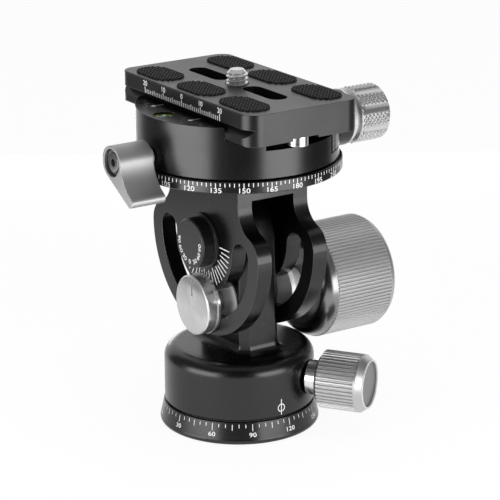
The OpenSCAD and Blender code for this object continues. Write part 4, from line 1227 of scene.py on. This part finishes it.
# %% [markdown]
# ## The studio
# The floor is pale and runs out into a white surrounding. Seen directly or in a reflection, both are
# nearly pure white. To the light that falls on things they are plain paint and a dim sky, so that the
# head keeps its shadow. A large soft light hangs above, three low softboxes stand at the left, the
# right and the back, and a fill stands in front. Satin metal shows what stands round it, so the light
# above and the fill are hidden from reflections, and black and grey cards, which only reflections
# see, stand where the photograph has its dark bands.


# %% Floor and surroundings
def seen_directly(tree):
    """1 for what the camera, a mirror or glass shows, and 0 for the light that falls on things."""
    path = add_node(tree, "LightPath")
    mirrored = add_node(tree, "Math", {
        0: path.outputs["Is Camera Ray"], 1: path.outputs["Is Glossy Ray"]}, operation="MAXIMUM")
    return add_node(tree, "Math", {
        0: mirrored, 1: path.outputs["Is Transmission Ray"]}, operation="MAXIMUM")


floor_size = 8.0
floor_whiteness = 0.93
sky_level = 0.35
bpy.ops.mesh.primitive_plane_add(size=floor_size, location=(0, 0, -0.2 * MM))
floor = bpy.context.object
floor.name = "studio_floor"
floor_paint = bpy.data.materials.new("pale_floor")
floor_paint.use_nodes = True
tree = floor_paint.node_tree
tree.nodes.clear()
share = add_node(tree, "Math", {0: seen_directly(tree), 1: floor_whiteness}, operation="MULTIPLY")
matt = add_node(tree, "BsdfDiffuse", {"Color": tone("#f4f4f3")})
glow = add_node(tree, "Emission", {"Color": tone("#ffffff"), "Strength": 1.0})
mixed = add_node(tree, "MixShader", {"Fac": share, 1: matt, 2: glow})
add_node(tree, "OutputMaterial", {"Surface": mixed})
floor.data.materials.append(floor_paint)
floor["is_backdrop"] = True

world = bpy.data.worlds.new("studio_world")
bpy.context.scene.world = world
world.use_nodes = True
tree = world.node_tree
tree.nodes.clear()
level = add_node(tree, "MapRange", {
    "Value": seen_directly(tree), "To Min": sky_level, "To Max": 1.0})
sky = add_node(tree, "Background", {"Color": tone("#ffffff"), "Strength": level})
add_node(tree, "OutputWorld", {"Surface": sky})
print("floor", floor_size, "m wide")


# %% Lights and cards
def hang(name, lamp):
    """Put a lamp into the scene."""
    thing = bpy.data.objects.new(name, lamp)
    bpy.context.scene.collection.objects.link(thing)
    return thing


def stand(azimuth, distance, middle):
    """Place and turn of an upright thing that faces the head from an azimuth."""
    angle = math.radians(azimuth)
    way = Vector((math.cos(angle), math.sin(angle), 0.0))
    return way * distance + Vector((0, 0, middle)), (QUARTER_TURN, 0.0, angle + QUARTER_TURN)


def softbox(name, azimuth, distance, width, low, high, level):
    """An upright light between two heights. Its level is the brightness of its face."""
    lamp = bpy.data.lights.new(name, "AREA")
    lamp.shape = "RECTANGLE"
    lamp.size = width
    lamp.size_y = high - low
    lamp.energy = level * math.pi * width * (high - low)
    thing = hang(name, lamp)
    thing.location, thing.rotation_euler = stand(azimuth, distance, (low + high) / 2)
    return thing


def card(name, place, turn, width, height, level):
    """A card that only reflections see, black or grey by its level."""
    sheet = strip(width, height, turn, place)
    sheet.name = name
    for rays in ("camera", "diffuse", "shadow", "transmission"):
        setattr(sheet, "visible_" + rays, False)
    paint = bpy.data.materials.new(name)
    paint.use_nodes = True
    paint.node_tree.nodes.clear()
    shine = add_node(paint.node_tree, "Emission", {"Color": tone("#ffffff"), "Strength": level})
    add_node(paint.node_tree, "OutputMaterial", {"Surface": shine})
    sheet.data.materials.append(paint)
    sheet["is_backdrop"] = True
    return sheet


ceiling_size = 1.2
ceiling_lamp = bpy.data.lights.new("ceiling_light", "AREA")
ceiling_lamp.size = ceiling_size
ceiling_lamp.energy = 2.2 * math.pi * ceiling_size * ceiling_size
ceiling = hang("ceiling_light", ceiling_lamp)
ceiling.location = (0.0, 0.0, 1.4)
ceiling.visible_glossy = False

# Each light has its azimuth, its distance, its width, its low and high edge, and its level.
softbox("left_light", -178, 0.21, 0.20, 0.0, 0.10, 4.2)
softbox("right_light", -76, 0.21, 0.16, 0.0, 0.10, 4.0)
softbox("back_light", 57, 0.3, 0.25, 0.0, 0.05, 3.0)
front_fill = softbox("front_fill", -105, 0.7, 0.4, 0.05, 0.45, 3.0)
front_fill.visible_glossy = False

card_distance = 0.24
card_top = 0.34
# Each card has its azimuth, its width and its level.
ring_cards = (
    (-124, 0.21, 0.02), (-26, 0.26, 0.1), (135, 0.26, 0.2), (-178, 0.26, 0.15), (-76, 0.24, 0.3))
for number, (azimuth, width, level) in enumerate(ring_cards):
    place, turn = stand(azimuth, card_distance, card_top / 2)
    card("card_%d" % number, place, turn, width, card_top, level)
card("card_over", (-0.06, -0.1, 0.42), (0.0, 0.0, 0.0), 0.6, 0.6, 0.4)
print("lights:", len(bpy.data.lights), "cards:", len(ring_cards) + 1)

# %% [markdown]
# ## The size before and after dressing
# The dressed head must keep the size of the solids, so both boxes are written down side by side.

# %% Finish
visual_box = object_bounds()
for label, (low, high) in (("solids", cad_box), ("dressed", visual_box)):
    print(label, "measure", [round(b - a, 4) for a, b in zip(low, high)])
